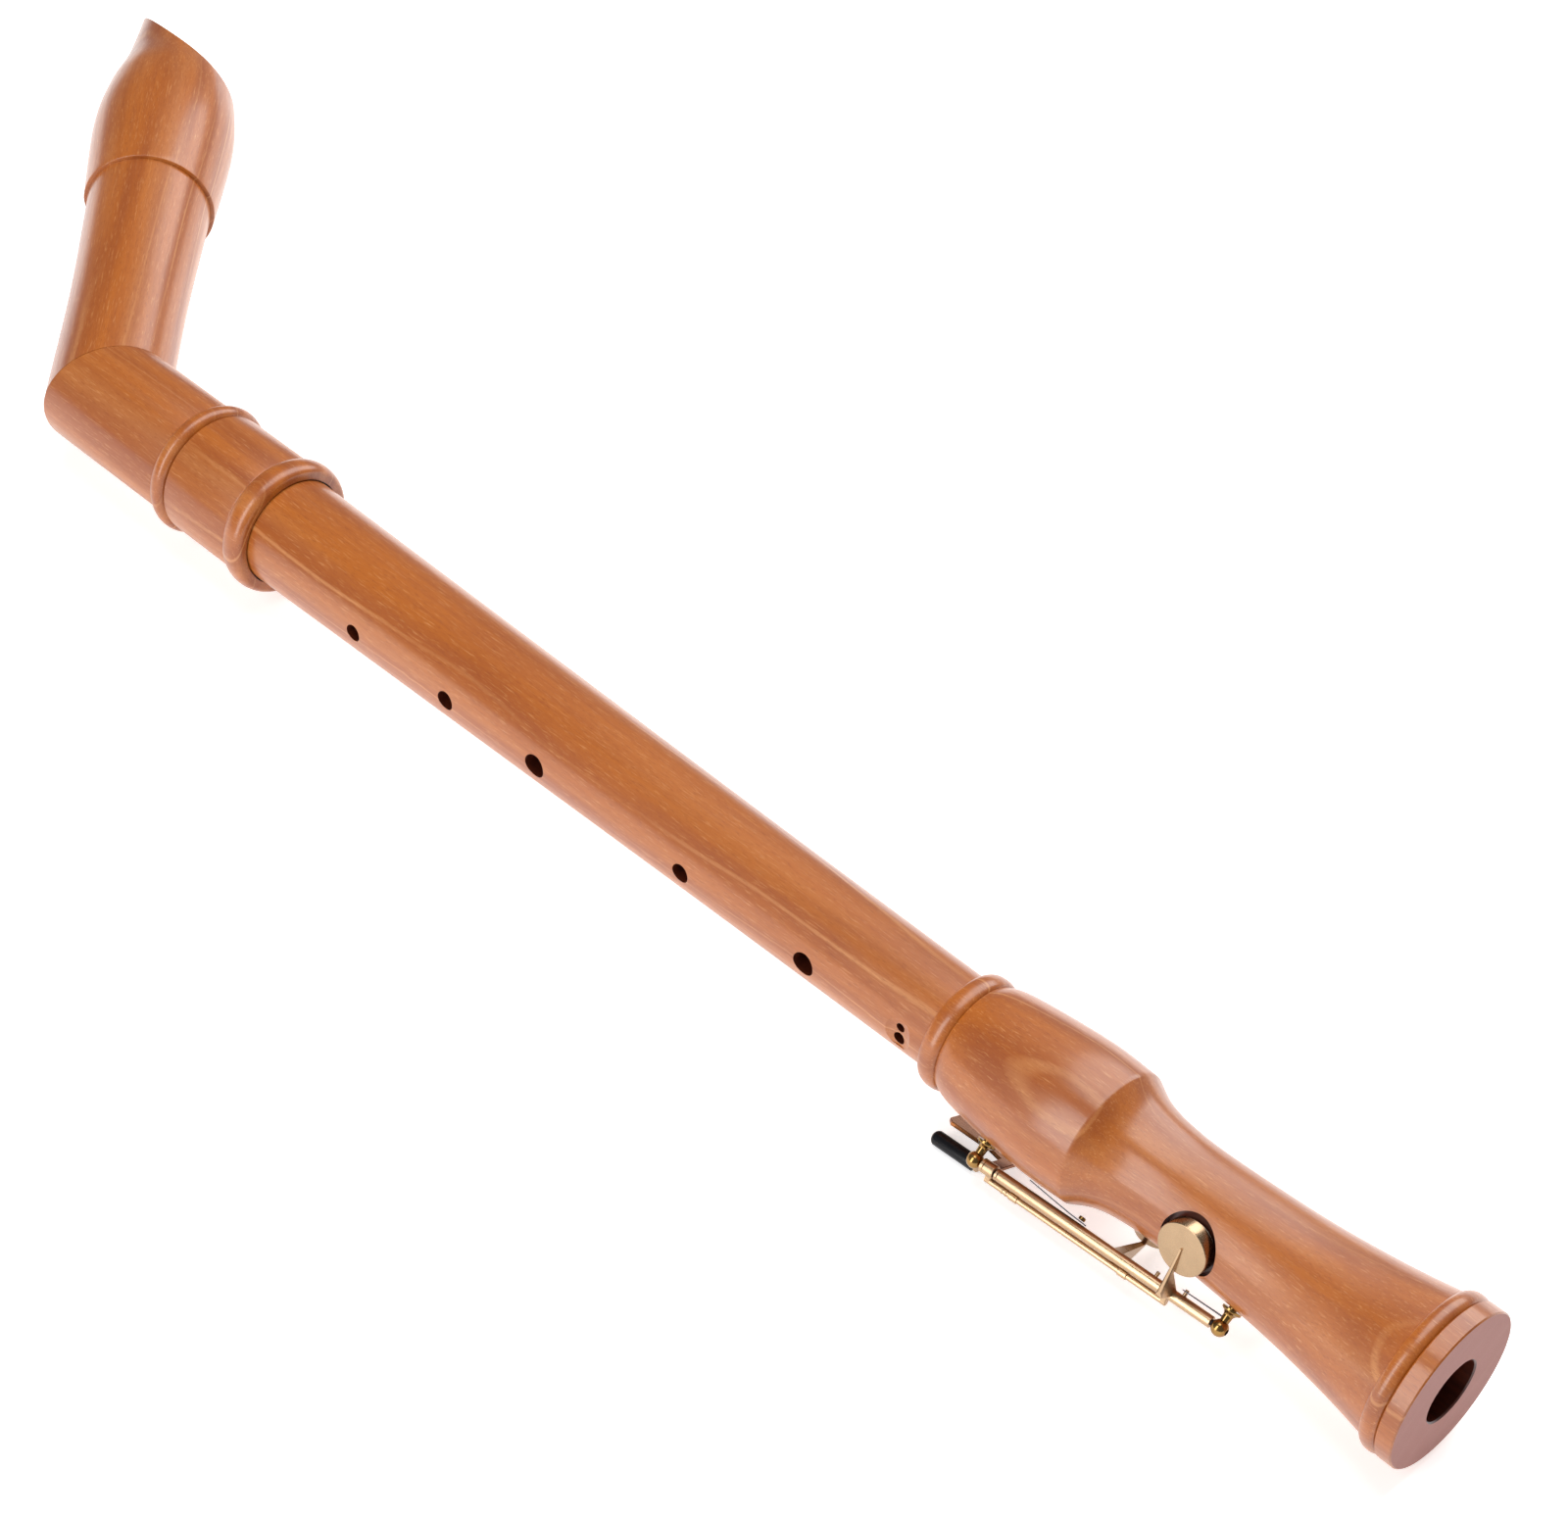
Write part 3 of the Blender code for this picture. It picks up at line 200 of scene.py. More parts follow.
C_ANGLE = -97 * DEG
ARM_THICKNESS = 1.5 * MM
ROLLER_RADIUS = 2.0 * MM
ROLLER_LENGTH = 13.5 * MM
ROLLER_REACH = 6.5 * MM
ROLLER_SIDE = -125 * DEG
AXLE_RADIUS = 0.7 * MM
PLATE_REACH = 8.6 * MM
PLATE_SIDE = -153 * DEG
PLATE_WIDTH = 7.5 * MM
PLATE_THICKNESS = 1.1 * MM
BRIDGE_RADIUS = 0.8 * MM
BRIDGE_REACH = 2.85 * MM
BRIDGE_SIDE = -72 * DEG
COLLAR_RADIUS = 1.05 * MM
COLLAR_LENGTH = 2.6 * MM
STUD_RADIUS = 0.5 * MM
NEEDLE_RADIUS = 0.22 * MM
NEEDLE_REACH = 2.5 * MM
CATCH_STATION = LOWER_TUBE_START - 5 * MM
SPRING_ROOT = LONG_TUBE_START - 24 * MM
SPRING_LENGTH = 16 * MM
SPRING_WIDTH = 1.8 * MM
SPRING_THICKNESS = 0.3 * MM
SPRING_SCREW_RADIUS = 0.9 * MM
SPRING_SCREW_HEIGHT = 0.9 * MM
SCREW_SLOT = 0.28 * MM
SMALL_SCREW_SLOT = 0.25 * MM

# Finish slots of the turned wood
OUTSIDE, BORE, END_GRAIN = 0, 1, 2

BEAD_STEPS = 14


# ---------------------------------------------------------------- what a user would change


class RecorderWood(bpy.types.PropertyGroup):
    """How the turned wood is cut and coloured."""

    sides: IntProperty(
        name="Sides",
        description="Flats round each turned piece",
        default=96,
        min=24,
    )
    edge: FloatProperty(
        name="Edge",
        description="Width of the broken edge at the ends of the joints",
        default=0.35 * MM,
        unit="LENGTH",
    )
    light: FloatVectorProperty(
        name="Pale wood",
        description="Colour of the pale growth lines",
        subtype="COLOR",
        default=(0.60, 0.27, 0.095),
    )
    warm: FloatVectorProperty(
        name="Warm wood",
        description="Main colour of the pearwood",
        subtype="COLOR",
        default=(0.385, 0.103, 0.010),
    )
    dark: FloatVectorProperty(
        name="Dark wood",
        description="Colour of the darker bands",
        subtype="COLOR",
        default=(0.245, 0.050, 0.005),
    )
    ring: FloatProperty(
        name="Growth ring",
        description="Distance between two growth lines",
        default=7.5 * MM,
        unit="LENGTH",
    )
    roughness: FloatProperty(
        name="Roughness",
        description="Roughness of the oiled surface",
        default=0.42,
        min=0,
        max=1,
    )


class RecorderKeys(bpy.types.PropertyGroup):
    """How the keys are shaped and coloured."""

    edge: FloatProperty(
        name="Edge",
        description="Rounding along the edges of the metal",
        default=0.16 * MM,
        unit="LENGTH",
    )
    satin: FloatVectorProperty(
        name="Satin brass",
        description="Colour of the levers, and a little darker of the cups",
        subtype="COLOR",
        default=(0.50, 0.34, 0.205),
    )
    # The touch plate's dark reddish-brown colour is painted reflection of the wood beside it, laid
    # into the brass.
    touch: FloatVectorProperty(
        name="Touch brass",
        description="Colour of the touch plate",
        subtype="COLOR",
        default=(0.27, 0.10, 0.035),
    )
    golden: FloatVectorProperty(
        name="Golden brass",
        description="Colour of the posts",
        subtype="COLOR",
        default=(0.36, 0.21, 0.07),
    )
    steel: FloatVectorProperty(
        name="Blued steel",
        description="Colour of the hinge rod and the springs",
        subtype="COLOR",
        default=(0.06, 0.055, 0.06),
    )
    roller: FloatVectorProperty(
        name="Roller",
        description="Colour of the touch roller",
        subtype="COLOR",
        default=(0.006, 0.006, 0.008),
    )


class RecorderStage(bpy.types.PropertyGroup):
    """The floor and the light."""

    floor: FloatVectorProperty(
        name="Floor",
        description="Colour of the floor",
        subtype="COLOR",
        default=(0.92, 0.92, 0.92),
    )
    glow: FloatProperty(
        name="Floor glow",
        description="Light that the floor itself gives",
        default=0.6,
        min=0,
    )
    room: FloatProperty(
        name="Room light",
        description="Strength of the light all round",
        default=0.22,
        min=0,
    )
    back: FloatProperty(
        name="Back light",
        description="Power of the soft light behind",
        default=29,
        min=0,
        unit="POWER",
    )
    front: FloatProperty(
        name="Front light",
        description="Power of the soft light in front",
        default=12,
        min=0,
        unit="POWER",
    )


# ---------------------------------------------------------------- places


def at(station, radius=0.0, angle=0.0):
    """A place in the recorder's own frame, where the bell's end face is at the origin."""
    return Vector((-station, -radius * math.cos(angle), radius * math.sin(angle)))


def outward(angle):
    """The direction straight out of the bore at an angle."""
    return at(0, 1, angle)


def turn_to(direction, upright=(0, 0, 1)):
    """The rotation that takes local Z to a direction, with local X as near upright as it can be."""
    z_axis = Vector(direction).normalized()
    x_axis = Vector(upright) - z_axis * z_axis.dot(Vector(upright))
    if x_axis.length < 1e-6:
        x_axis = z_axis.orthogonal()
    x_axis.normalize()
    return Matrix((x_axis, z_axis.cross(x_axis), z_axis)).transposed()


def facing(origin, direction, upright=(0, 0, 1)):
    """A frame at an origin, with its local Z along a direction."""
    return Matrix.Translation(Vector(origin)) @ turn_to(direction, upright).to_4x4()


def axes(origin, x_axis, y_axis):
    """A frame from its origin and its first two axes."""
    turn = Matrix((x_axis, y_axis, x_axis.cross(y_axis))).transposed()
    return Matrix.Translation(origin) @ turn.to_4x4()


def hinge_at(station):
    """The place on the keys' hinge line at a station."""
    return HINGE_TOP + HINGE_AXIS * ((UPPER_POST - station) / HINGE_AXIS.x)


def beside_hinge(station, reach, side):
    """The place at a reach from the hinge line, on the side that an angle gives."""
    return hinge_at(station) + outward(side) * reach


RECORDER = Matrix.Translation(BELL)
BORE_LINE = RECORDER @ facing(at(0), (1, 0, 0))
HEAD = RECORDER @ Matrix.Rotation(HEAD_TURN, 4, "X")
HEAD_LINE = HEAD @ facing(at(0), (1, 0, 0))
HEAD_UP = Vector((-math.cos(BEND), math.sin(BEND), 0))
HEAD_FRONT = Vector((-math.sin(BEND), -math.cos(BEND), 0))
BEAK_LINE = HEAD @ facing(at(ELBOW_STATION), HEAD_UP, HEAD_FRONT)
TO_HINGE = Matrix.Translation(HINGE_TOP)
LONG_KEY = TO_HINGE @ Matrix.Rotation(-TRAVEL, 4, HINGE_AXIS) @ TO_HINGE.inverted()
SHORT_KEY = Matrix()


# ---------------------------------------------------------------- mesh making


def catmull(before, start, end, after, t):
    """A point between start and end on the smooth curve through four points."""
    return 0.5 * (
        2 * start
        + (end - before) * t
        + (2 * before - 5 * start + 4 * end - after) * t**2
        + (3 * start - before - 3 * end + after) * t**3
    )


def smooth_line(points, steps=8):
    """A smooth curve through (radius, height) points, with a number of steps between each two."""
    ends = [points[0], *points, points[-1]]
    line = []
    for before, start, end, after in zip(ends, ends[1:], ends[2:], ends[3:]):
        for step in range(steps):
            t = step / steps
            line.append(tuple(catmull(before[k], start[k], end[k], after[k], t) for k in (0, 1)))
    return line + [points[-1]]


def bead(top, bottom, radius, low_radius):
    """A round moulding between two heights, as (radius, height) points."""
    middle, half = (top + bottom) / 2, (top - bottom) / 2
    line = []
    for step in range(BEAD_STEPS + 1):
        angle = math.pi / 2 - math.pi * step / BEAD_STEPS
        height = middle + half * math.sin(angle)
        line.append((low_radius + (radius - low_radius) * math.cos(angle), height))
    return line


def arc(centre, radius, start, end, steps):
    """(radius, height) points on a circle, between two angles from the radius axis."""
    line = []
    for step in range(steps + 1):
        angle = start + (end - start) * step / steps
        line.append((centre[0] + radius * math.cos(angle), centre[1] + radius * math.sin(angle)))
    return line


def new_object(name, mesh, place):
    """Links a mesh at a place. Its empty finish slots keep each face's slot through the cuts."""
    for _ in (OUTSIDE, BORE, END_GRAIN):
        mesh.materials.append(None)
    obj = bpy.data.objects.new(name, mesh)
    bpy.context.scene.collection.objects.link(obj)
    obj.matrix_world = place
    return obj


def lathe(name, profile, place, sides, patches=()):
    """Turns (radius, height) points round local Z.

    patches gives (point number, slot): the slot of the faces from that point on.
    """
    work = bmesh.new()
    rings = []
    for radius, height in profile:
        if radius < 1e-9:
            rings.append([work.verts.new((0, 0, height))])
            continue
        angles = [2 * math.pi * k / sides for k in range(sides)]
        circle = [(radius * math.cos(a), radius * math.sin(a), height) for a in angles]
        rings.append([work.verts.new(point) for point in circle])
    ends_on_axis = len(rings[0]) == 1 and len(rings[-1]) == 1
    following = rings[1:] if ends_on_axis else rings[1:] + rings[:1]
    slot_of = dict(patches)
    slot = 0
    for number, (upper, lower) in enumerate(zip(rings, following)):
        slot = slot_of.get(number, slot)
        for k in range(sides):
            corners = [upper[k % len(upper)], upper[(k + 1) % len(upper)]]
            corners += [lower[(k + 1) % len(lower)], lower[k % len(lower)]]
            corners = list(dict.fromkeys(corners))
            if len(corners) > 2:
                work.faces.new(corners).material_index = slot
    bmesh.ops.recalc_face_normals(work, faces=work.faces)
    return finish_mesh(name, work, place)


def finish_mesh(name, work, place):
    """Makes an object of a bmesh."""
    mesh = bpy.data.meshes.new(name)
    work.to_mesh(mesh)
    work.free()
    return new_object(name, mesh, place)


def rod(name, start, end, radius, place=Matrix(), sides=32, edge=0.0, slot=0):
    """A round rod between two points, with its ends chamfered by edge."""
    start, end = Vector(start), Vector(end)
    length = (end - start).length
    profile = [(0, length), (radius, length), (radius, 0), (0, 0)]
    if edge:
        profile[1:2] = [(radius - edge, length), (radius, length - edge)]
        profile[-2:-1] = [(radius, edge), (radius - edge, 0)]
    return lathe(name, profile, place @ facing(start, end - start), sides, [(0, slot)])


def skin(outline, halves):
    """A closed bmesh between two copies of an outline, each point its half thickness off Z = 0."""
    work = bmesh.new()
    low = [work.verts.new((x, y, -half)) for (x, y), half in zip(outline, halves)]
    high = [work.verts.new((x, y, half)) for (x, y), half in zip(outline, halves)]
    work.faces.new(low)
    work.faces.new(high)
    for k in range(len(outline)):
        follow = (k + 1) % len(outline)
        work.faces.new((low[k], low[follow], high[follow], high[k]))
    bmesh.ops.recalc_face_normals(work, faces=work.faces)
    return work


def slab(name, outline, thickness, place, edge=0.0):
    """A flat outline in local X and Y, centred on local Z = 0, with rounded edges."""
    work = skin(outline, [thickness / 2] * len(outline))
    if edge:
        bmesh.ops.bevel(
            work,
            geom=list(work.edges),
            offset=edge,
            segments=2,
            affect="EDGES",
            clamp_overlap=True,
        )
    return finish_mesh(name, work, place)


def block(name, size, place, edge=0.0):
    """A box of a size, centred on its place."""
    x, y = size[0] / 2, size[1] / 2
    return slab(name, [(-x, -y), (x, -y), (x, y), (-x, y)], size[2], place, edge)


def combine(obj, others, operation="DIFFERENCE"):
    """Cuts the others from an object, or joins them to it, and removes them."""
    for other in others:
        modifier = obj.modifiers.new(operation.lower(), "BOOLEAN")
        modifier.operation = operation
        modifier.object = other
        modifier.solver = "EXACT"
        apply_modifiers(obj)
        bpy.data.objects.remove(other, do_unlink=True)


def apply_modifiers(obj):
    """Puts an object's modifiers into its mesh."""
    graph = bpy.context.evaluated_depsgraph_get()
    mesh = bpy.data.meshes.new_from_object(obj.evaluated_get(graph))
    obj.modifiers.clear()
    old = obj.data
    obj.data = mesh
    bpy.data.meshes.remove(old)


def clean(obj):
    """Welds the double points that cutting leaves."""
    work = bmesh.new()
    work.from_mesh(obj.data)
    bmesh.ops.remove_doubles(work, verts=work.verts, dist=0.002 * MM)
    bmesh.ops.dissolve_degenerate(work, edges=work.edges, dist=0.001 * MM)
    work.to_mesh(obj.data)
    work.free()


def install(obj, body, node, finishes, sharp=32 * DEG, bends=None):
    """Finishes a piece, puts its place in its mesh and rides it on a body in its node's stead.

    bends gives a second body and two points, which are not used: with bends the piece is left on no
    body, its place kept in its mesh.
    """
    obj.data.transform(obj.matrix_world)
    obj.matrix_world = Matrix()
    slots = obj.data.materials
    for number, finish in enumerate(finishes):
        slots[number] = bpy.data.materials[finish]
    while len(slots) > len(finishes):
        slots.pop()
    obj.data.shade_smooth()
    obj.data.set_sharp_from_angle(angle=sharp)
    if bends:
        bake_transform(obj)
    else:
        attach(obj, body)
    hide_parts(node)


# ---------------------------------------------------------------- finishes


class Nodes:
    """A short way to write a node tree whose patterns follow a place's own axes."""

    def __init__(self, name, place=Matrix()):
        self.material = bpy.data.materials.new(name)
        self.material.use_nodes = True
        self.tree = self.material.node_tree
        self.shader = self.tree.nodes["Principled BSDF"]
        spot = self.add("TexCoord").outputs["Object"]
        turn = place.to_euler("XYZ")
        own = {"vector_type": "TEXTURE"}
        own_axes = self.add("Mapping", own, Vector=spot, Location=place.translation, Rotation=turn)
        self.spot = own_axes.outputs["Vector"]

    def add(self, kind, settings=None, **inputs):
        """A node with its settings and its inputs, which are values or other nodes' outputs."""
        node = self.tree.nodes.new("ShaderNode" + kind)
        for key, value in (settings or {}).items():
            setattr(node, key, value)
        for key, value in inputs.items():
            self.feed(node.inputs[key.replace("_", " ")], value)
        return node

    def feed(self, socket, value):
        """Links an output to a socket, or sets the socket's value."""
        if isinstance(value, bpy.types.NodeSocket):
            self.tree.links.new(value, socket)
        else:
            socket.default_value = value

    def set(self, **inputs):
        """Feeds the shader's own sockets."""
        for key, value in inputs.items():
            self.feed(self.shader.inputs[key.replace("_", " ")], value)

    def place(self, scale=(1, 1, 1), location=(0, 0, 0)):
        """The piece's own coordinates, stretched and moved."""
        node = self.add("Mapping", Vector=self.spot, Location=location, Scale=scale)
        return node.outputs["Vector"]

    def noise(self, vector, scale, detail=3.0, roughness=0.55, distortion=0.0):
        node = self.add("TexNoise", Vector=vector, Scale=scale, Detail=detail, Roughness=roughness)
        node.inputs["Distortion"].default_value = distortion
        return node.outputs["Fac"]

    def span(self, value, low, high, start, end):
        """A value's range stretched to another, held inside it."""
        ends = {"From_Min": low, "From_Max": high, "To_Min": start, "To_Max": end}
        return self.add("MapRange", Value=value, **ends).outputs["Result"]

    def mix(self, share, first, second):
        """A share of the second colour laid over the first."""
        node = self.add("Mix", {"data_type": "RGBA"})
        self.feed(node.inputs[0], share)
        self.feed(node.inputs[6], first)
        self.feed(node.inputs[7], second)
        return node.outputs[2]

    def math(self, operation, first, second):
        node = self.add("Math", {"operation": operation})
        self.feed(node.inputs[0], first)
        self.feed(node.inputs[1], second)
        return node.outputs[0]

    def bump(self, height, strength, distance):
        node = self.add("Bump", Height=height, Strength=strength, Distance=distance)
        self.set(Normal=node.outputs["Normal"])


def rgba(color):
    return (*color, 1)


def turned_finishes(name):
    """The finishes of a turned piece's three slots: OUTSIDE, BORE and END_GRAIN."""
    return [f"{name}_pearwood", "pearwood_bore", "pearwood_end_grain"]


def growth_lines(nodes, wood, pith, stretch=0.3):
    """Growth rings round a pith line beside the piece, 1 on a line, and where the lines fade."""
    spot = nodes.place((1, 1, stretch), pith)
    wander = nodes.noise(spot, 30, 2.0, 0.5)
    node = nodes.add(
        "TexWave",
        {"wave_type": "RINGS", "rings_direction": "Z", "wave_profile": "SIN"},
        Vector=spot,
        Scale=math.pi / 10 / wood.ring,
        Distortion=5.0,
        Detail=2.0,
        Detail_Scale=0.5,
    )
    return node.outputs["Fac"], wander


def pearwood(name, wood, place, pith, depth):
    """Fine-grained, oiled pearwood: soft bands, thin pale growth lines and short flecks."""
    nodes = Nodes(name, place)
    colors = (wood.warm, wood.dark, wood.light)
    warm, dark, light = (rgba(Vector(color) * depth) for color in colors)
    rings, wander = growth_lines(nodes, wood, pith)
    band = nodes.span(rings, 0.1, 0.9, 0, 1)
    blotch = nodes.noise(nodes.place((1, 1, 0.16), pith), 60, 3.0, 0.6, 0.4)
    tone = nodes.math("MULTIPLY", band, nodes.span(blotch, 0.3, 0.7, 0.1, 0.9))
    base = nodes.mix(tone, warm, dark)
    streak = nodes.noise(nodes.place((1, 1, 0.05), pith), 420, 3.0, 0.65)
    base = nodes.mix(nodes.span(streak, 0.42, 0.75, 0, 0.5), base, dark)
    pale = nodes.noise(nodes.place((1, 1, 0.04), (0.02, 0.01, 0)), 120, 2.0, 0.5)
    base = nodes.mix(nodes.span(pale, 0.5, 0.8, 0, 0.26), base, light)
    line = nodes.span(rings, 0.982, 1.0, 0, 1)
    line = nodes.math("MULTIPLY", line, nodes.span(wander, 0.4, 0.6, 0.0, 0.48))
    base = nodes.mix(line, base, light)
    fleck = nodes.noise(nodes.place((1, 1, 0.12)), 3400, 2.0, 0.7)
    base = nodes.mix(nodes.span(fleck, 0.54, 0.78, 0, 0.7), base, rgba(Vector(wood.dark) * 0.8))
    spark = nodes.noise(nodes.place((1, 1, 0.08), (0.3, 0.2, 0.1)), 2600, 2.0, 0.7)
    base = nodes.mix(nodes.span(spark, 0.56, 0.78, 0, 0.55), base, light)
    rough = nodes.span(streak, 0.3, 0.7, wood.roughness - 0.05, wood.roughness + 0.08)
    nodes.set(Base_Color=base, Roughness=rough, Specular_IOR_Level=0.35)
    nodes.set(Coat_Weight=0.6, Coat_Roughness=0.2)
    height = nodes.math("ADD", fleck, nodes.math("MULTIPLY", streak, 1.5))
    nodes.bump(height, 0.10, 0.05 * MM)


def end_grain(name, wood, place, pith):
    """The cut end of the wood: greyer, with fine pores and faint arcs of growth."""
    nodes = Nodes(name, place)
    rings, _ = growth_lines(nodes, wood, pith)
    pores = nodes.noise(nodes.place(), 2600, 2.0, 0.8)
    cloud = nodes.noise(nodes.place(), 160, 3.0, 0.6)
    base = (0.37, 0.145, 0.118, 1)
    base = nodes.mix(nodes.span(cloud, 0.3, 0.7, 0, 1), base, (0.385, 0.156, 0.128, 1))
    base = nodes.mix(nodes.span(rings, 0.8, 1.0, 0, 0.15), base, (0.42, 0.20, 0.16, 1))
    base = nodes.mix(nodes.span(pores, 0.52, 0.75, 0, 0.4), base, (0.22, 0.08, 0.055, 1))
    nodes.set(Base_Color=base, Roughness=0.55, Specular_IOR_Level=0.3)
    nodes.bump(pores, 0.15, 0.05 * MM)


def bore_wood(name, place):
    """The reamed and oiled inside and the holes' walls: redder than the outside from the oil, and
    much darker with painted shade of the bore and the holes.
    """
    nodes = Nodes(name, place)
    streak = nodes.noise(nodes.place((1, 1, 0.06)), 500, 3.0, 0.6)
    share = nodes.span(streak, 0.3, 0.7, 0, 1)
    # These very dark colours are painted shade inside the bore and the holes, over the oiled wood's
    # own deeper red.
    base = nodes.mix(share, (0.095, 0.016, 0.005, 1), (0.045, 0.007, 0.003, 1))
    nodes.set(Base_Color=base, Roughness=0.34)
    nodes.bump(streak, 0.1, 0.05 * MM)


def cedar(name):
    """The soft block under the windway."""
    nodes = Nodes(name, BEAK_LINE)
    streak = nodes.noise(nodes.place((1, 1, 0.03)), 700, 3.0, 0.6)
    broad = nodes.noise(nodes.place((1, 1, 0.08)), 120, 2.0, 0.5)
    share = nodes.span(streak, 0.35, 0.7, 0, 1)
    base = nodes.mix(share, (0.47, 0.215, 0.112, 1), (0.41, 0.175, 0.09, 1))
    base = nodes.mix(nodes.span(broad, 0.4, 0.7, 0, 0.3), base, (0.54, 0.28, 0.15, 1))
    nodes.set(Base_Color=base, Roughness=0.68)
    nodes.bump(streak, 0.2, 0.08 * MM)


def cork(name):
    """Greased cork with dark pits."""
    nodes = Nodes(name)
    pits = nodes.add("TexVoronoi", Vector=nodes.place(), Scale=900).outputs["Distance"]
    cloud = nodes.noise(nodes.place(), 700, 4.0, 0.7)
    share = nodes.span(cloud, 0.3, 0.7, 0, 1)
    base = nodes.mix(share, (0.50, 0.32, 0.17, 1), (0.62, 0.43, 0.26, 1))
    base = nodes.mix(nodes.span(pits, 0.08, 0.22, 0.7, 0), base, (0.20, 0.09, 0.04, 1))
    nodes.set(Base_Color=base, Roughness=0.85)
    nodes.bump(cloud, 0.5, 0.15 * MM)


def brushed_metal(name, color, roughness, brush, tarnish, grain):
    """Metal with fine brushing, which grain stretches, and a little uneven tarnish."""
    nodes = Nodes(name)
    strokes = nodes.noise(nodes.place(grain), 5200, 2.0, 0.6)
    cloud = nodes.noise(nodes.place(), 260, 3.0, 0.6)
    share = nodes.span(cloud, 0.3, 0.75, 0, 1)
    tone = nodes.mix(share, rgba(color), rgba(color * (1 - tarnish)))
    nodes.set(Base_Color=tone, Metallic=1.0)
    nodes.set(Roughness=nodes.span(strokes, 0.3, 0.7, roughness - brush, roughness + brush))
    nodes.bump(strokes, 0.12, 0.02 * MM)


def black_resin(name, color):
    """Polished black resin with faint hairline scratches."""
    nodes = Nodes(name)
    scratch = nodes.noise(nodes.place((0.01, 1, 1)), 4200, 2.0, 0.6)
    share = nodes.span(scratch, 0.6, 0.8, 0, 1)
    nodes.set(Base_Color=nodes.mix(share, rgba(color), (0.012, 0.012, 0.014, 1)))
    nodes.set(Roughness=nodes.span(scratch, 0.3, 0.8, 0.14, 0.22), Specular_IOR_Level=0.22)
    nodes.bump(scratch, 0.04, 0.01 * MM)


def pad_skin(name):
    """Thin pale skin over felt, with small creases."""
    nodes = Nodes(name)
    crease = nodes.noise(nodes.place(), 900, 4.0, 0.65, 1.2)
    share = nodes.span(crease, 0.3, 0.7, 0, 1)
    base = nodes.mix(share, (0.70, 0.58, 0.40, 1), (0.82, 0.74, 0.58, 1))
    nodes.set(Base_Color=base, Roughness=0.5)
    nodes.bump(crease, 0.3, 0.08 * MM)


# Each turned piece's frame, the pith of its tree beside it, and the depth of its colour
TURNED_WOODS = {
    "foot": (BORE_LINE, (0.0595, 0.0485, 0.05), 1.0),
    "middle": (BORE_LINE, (0.064, 0.022, 0.031), 0.98),
    "socket": (HEAD_LINE, (0.040, 0.056, 0.012), 0.97),
    "beak": (BEAK_LINE, (0.050, 0.051, 0.0), 1.0),
}
END_GRAIN_PITH = (0.058, 0.047, 0.0)

# Each metal's colour property and the depth of its colour, then its roughness, brushing, tarnish
# and the stretch of its brushing
ALONG, ALL_ROUND = (0.02, 1, 1), (1, 1, 1)
METALS = {
    "satin_brass": ("satin", 1.0, 0.30, 0.05, 0.10, ALONG),
    "cup_brass": ("satin", 0.82, 0.27, 0.04, 0.12, ALL_ROUND),
    # The touch plate's brass carries painted reflection of the wood in its dark colour.
    "touch_brass": ("touch", 1.0, 0.26, 0.05, 0.2, ALONG),
    "golden_brass": ("golden", 1.0, 0.22, 0.04, 0.3, ALL_ROUND),
    "blued_steel": ("steel", 1.0, 0.30, 0.06, 0.2, ALONG),
}


class RECORDER_OT_finishes(bpy.types.Operator):
    """Make the wood, metal, cork and pad finishes"""

    bl_idname = "recorder.finishes"
    bl_label = "Finishes"

    def execute(self, context):
        wood = context.scene.recorder_wood
        keys = context.scene.recorder_keys
        for name, (place, pith, depth) in TURNED_WOODS.items():
            pearwood(f"{name}_pearwood", wood, place, pith, depth)
        end_grain("pearwood_end_grain", wood, BORE_LINE, END_GRAIN_PITH)
        bore_wood("pearwood_bore", BORE_LINE)
        cedar("cedar_block")
        cork("tenon_cork")
        for name, (color, depth, *surface) in METALS.items():
            brushed_metal(name, Vector(getattr(keys, color)) * depth, *surface)
        black_resin("roller_resin", keys.roller)
        pad_skin("pad_skin")
        return {"FINISHED"}


# ---------------------------------------------------------------- wood


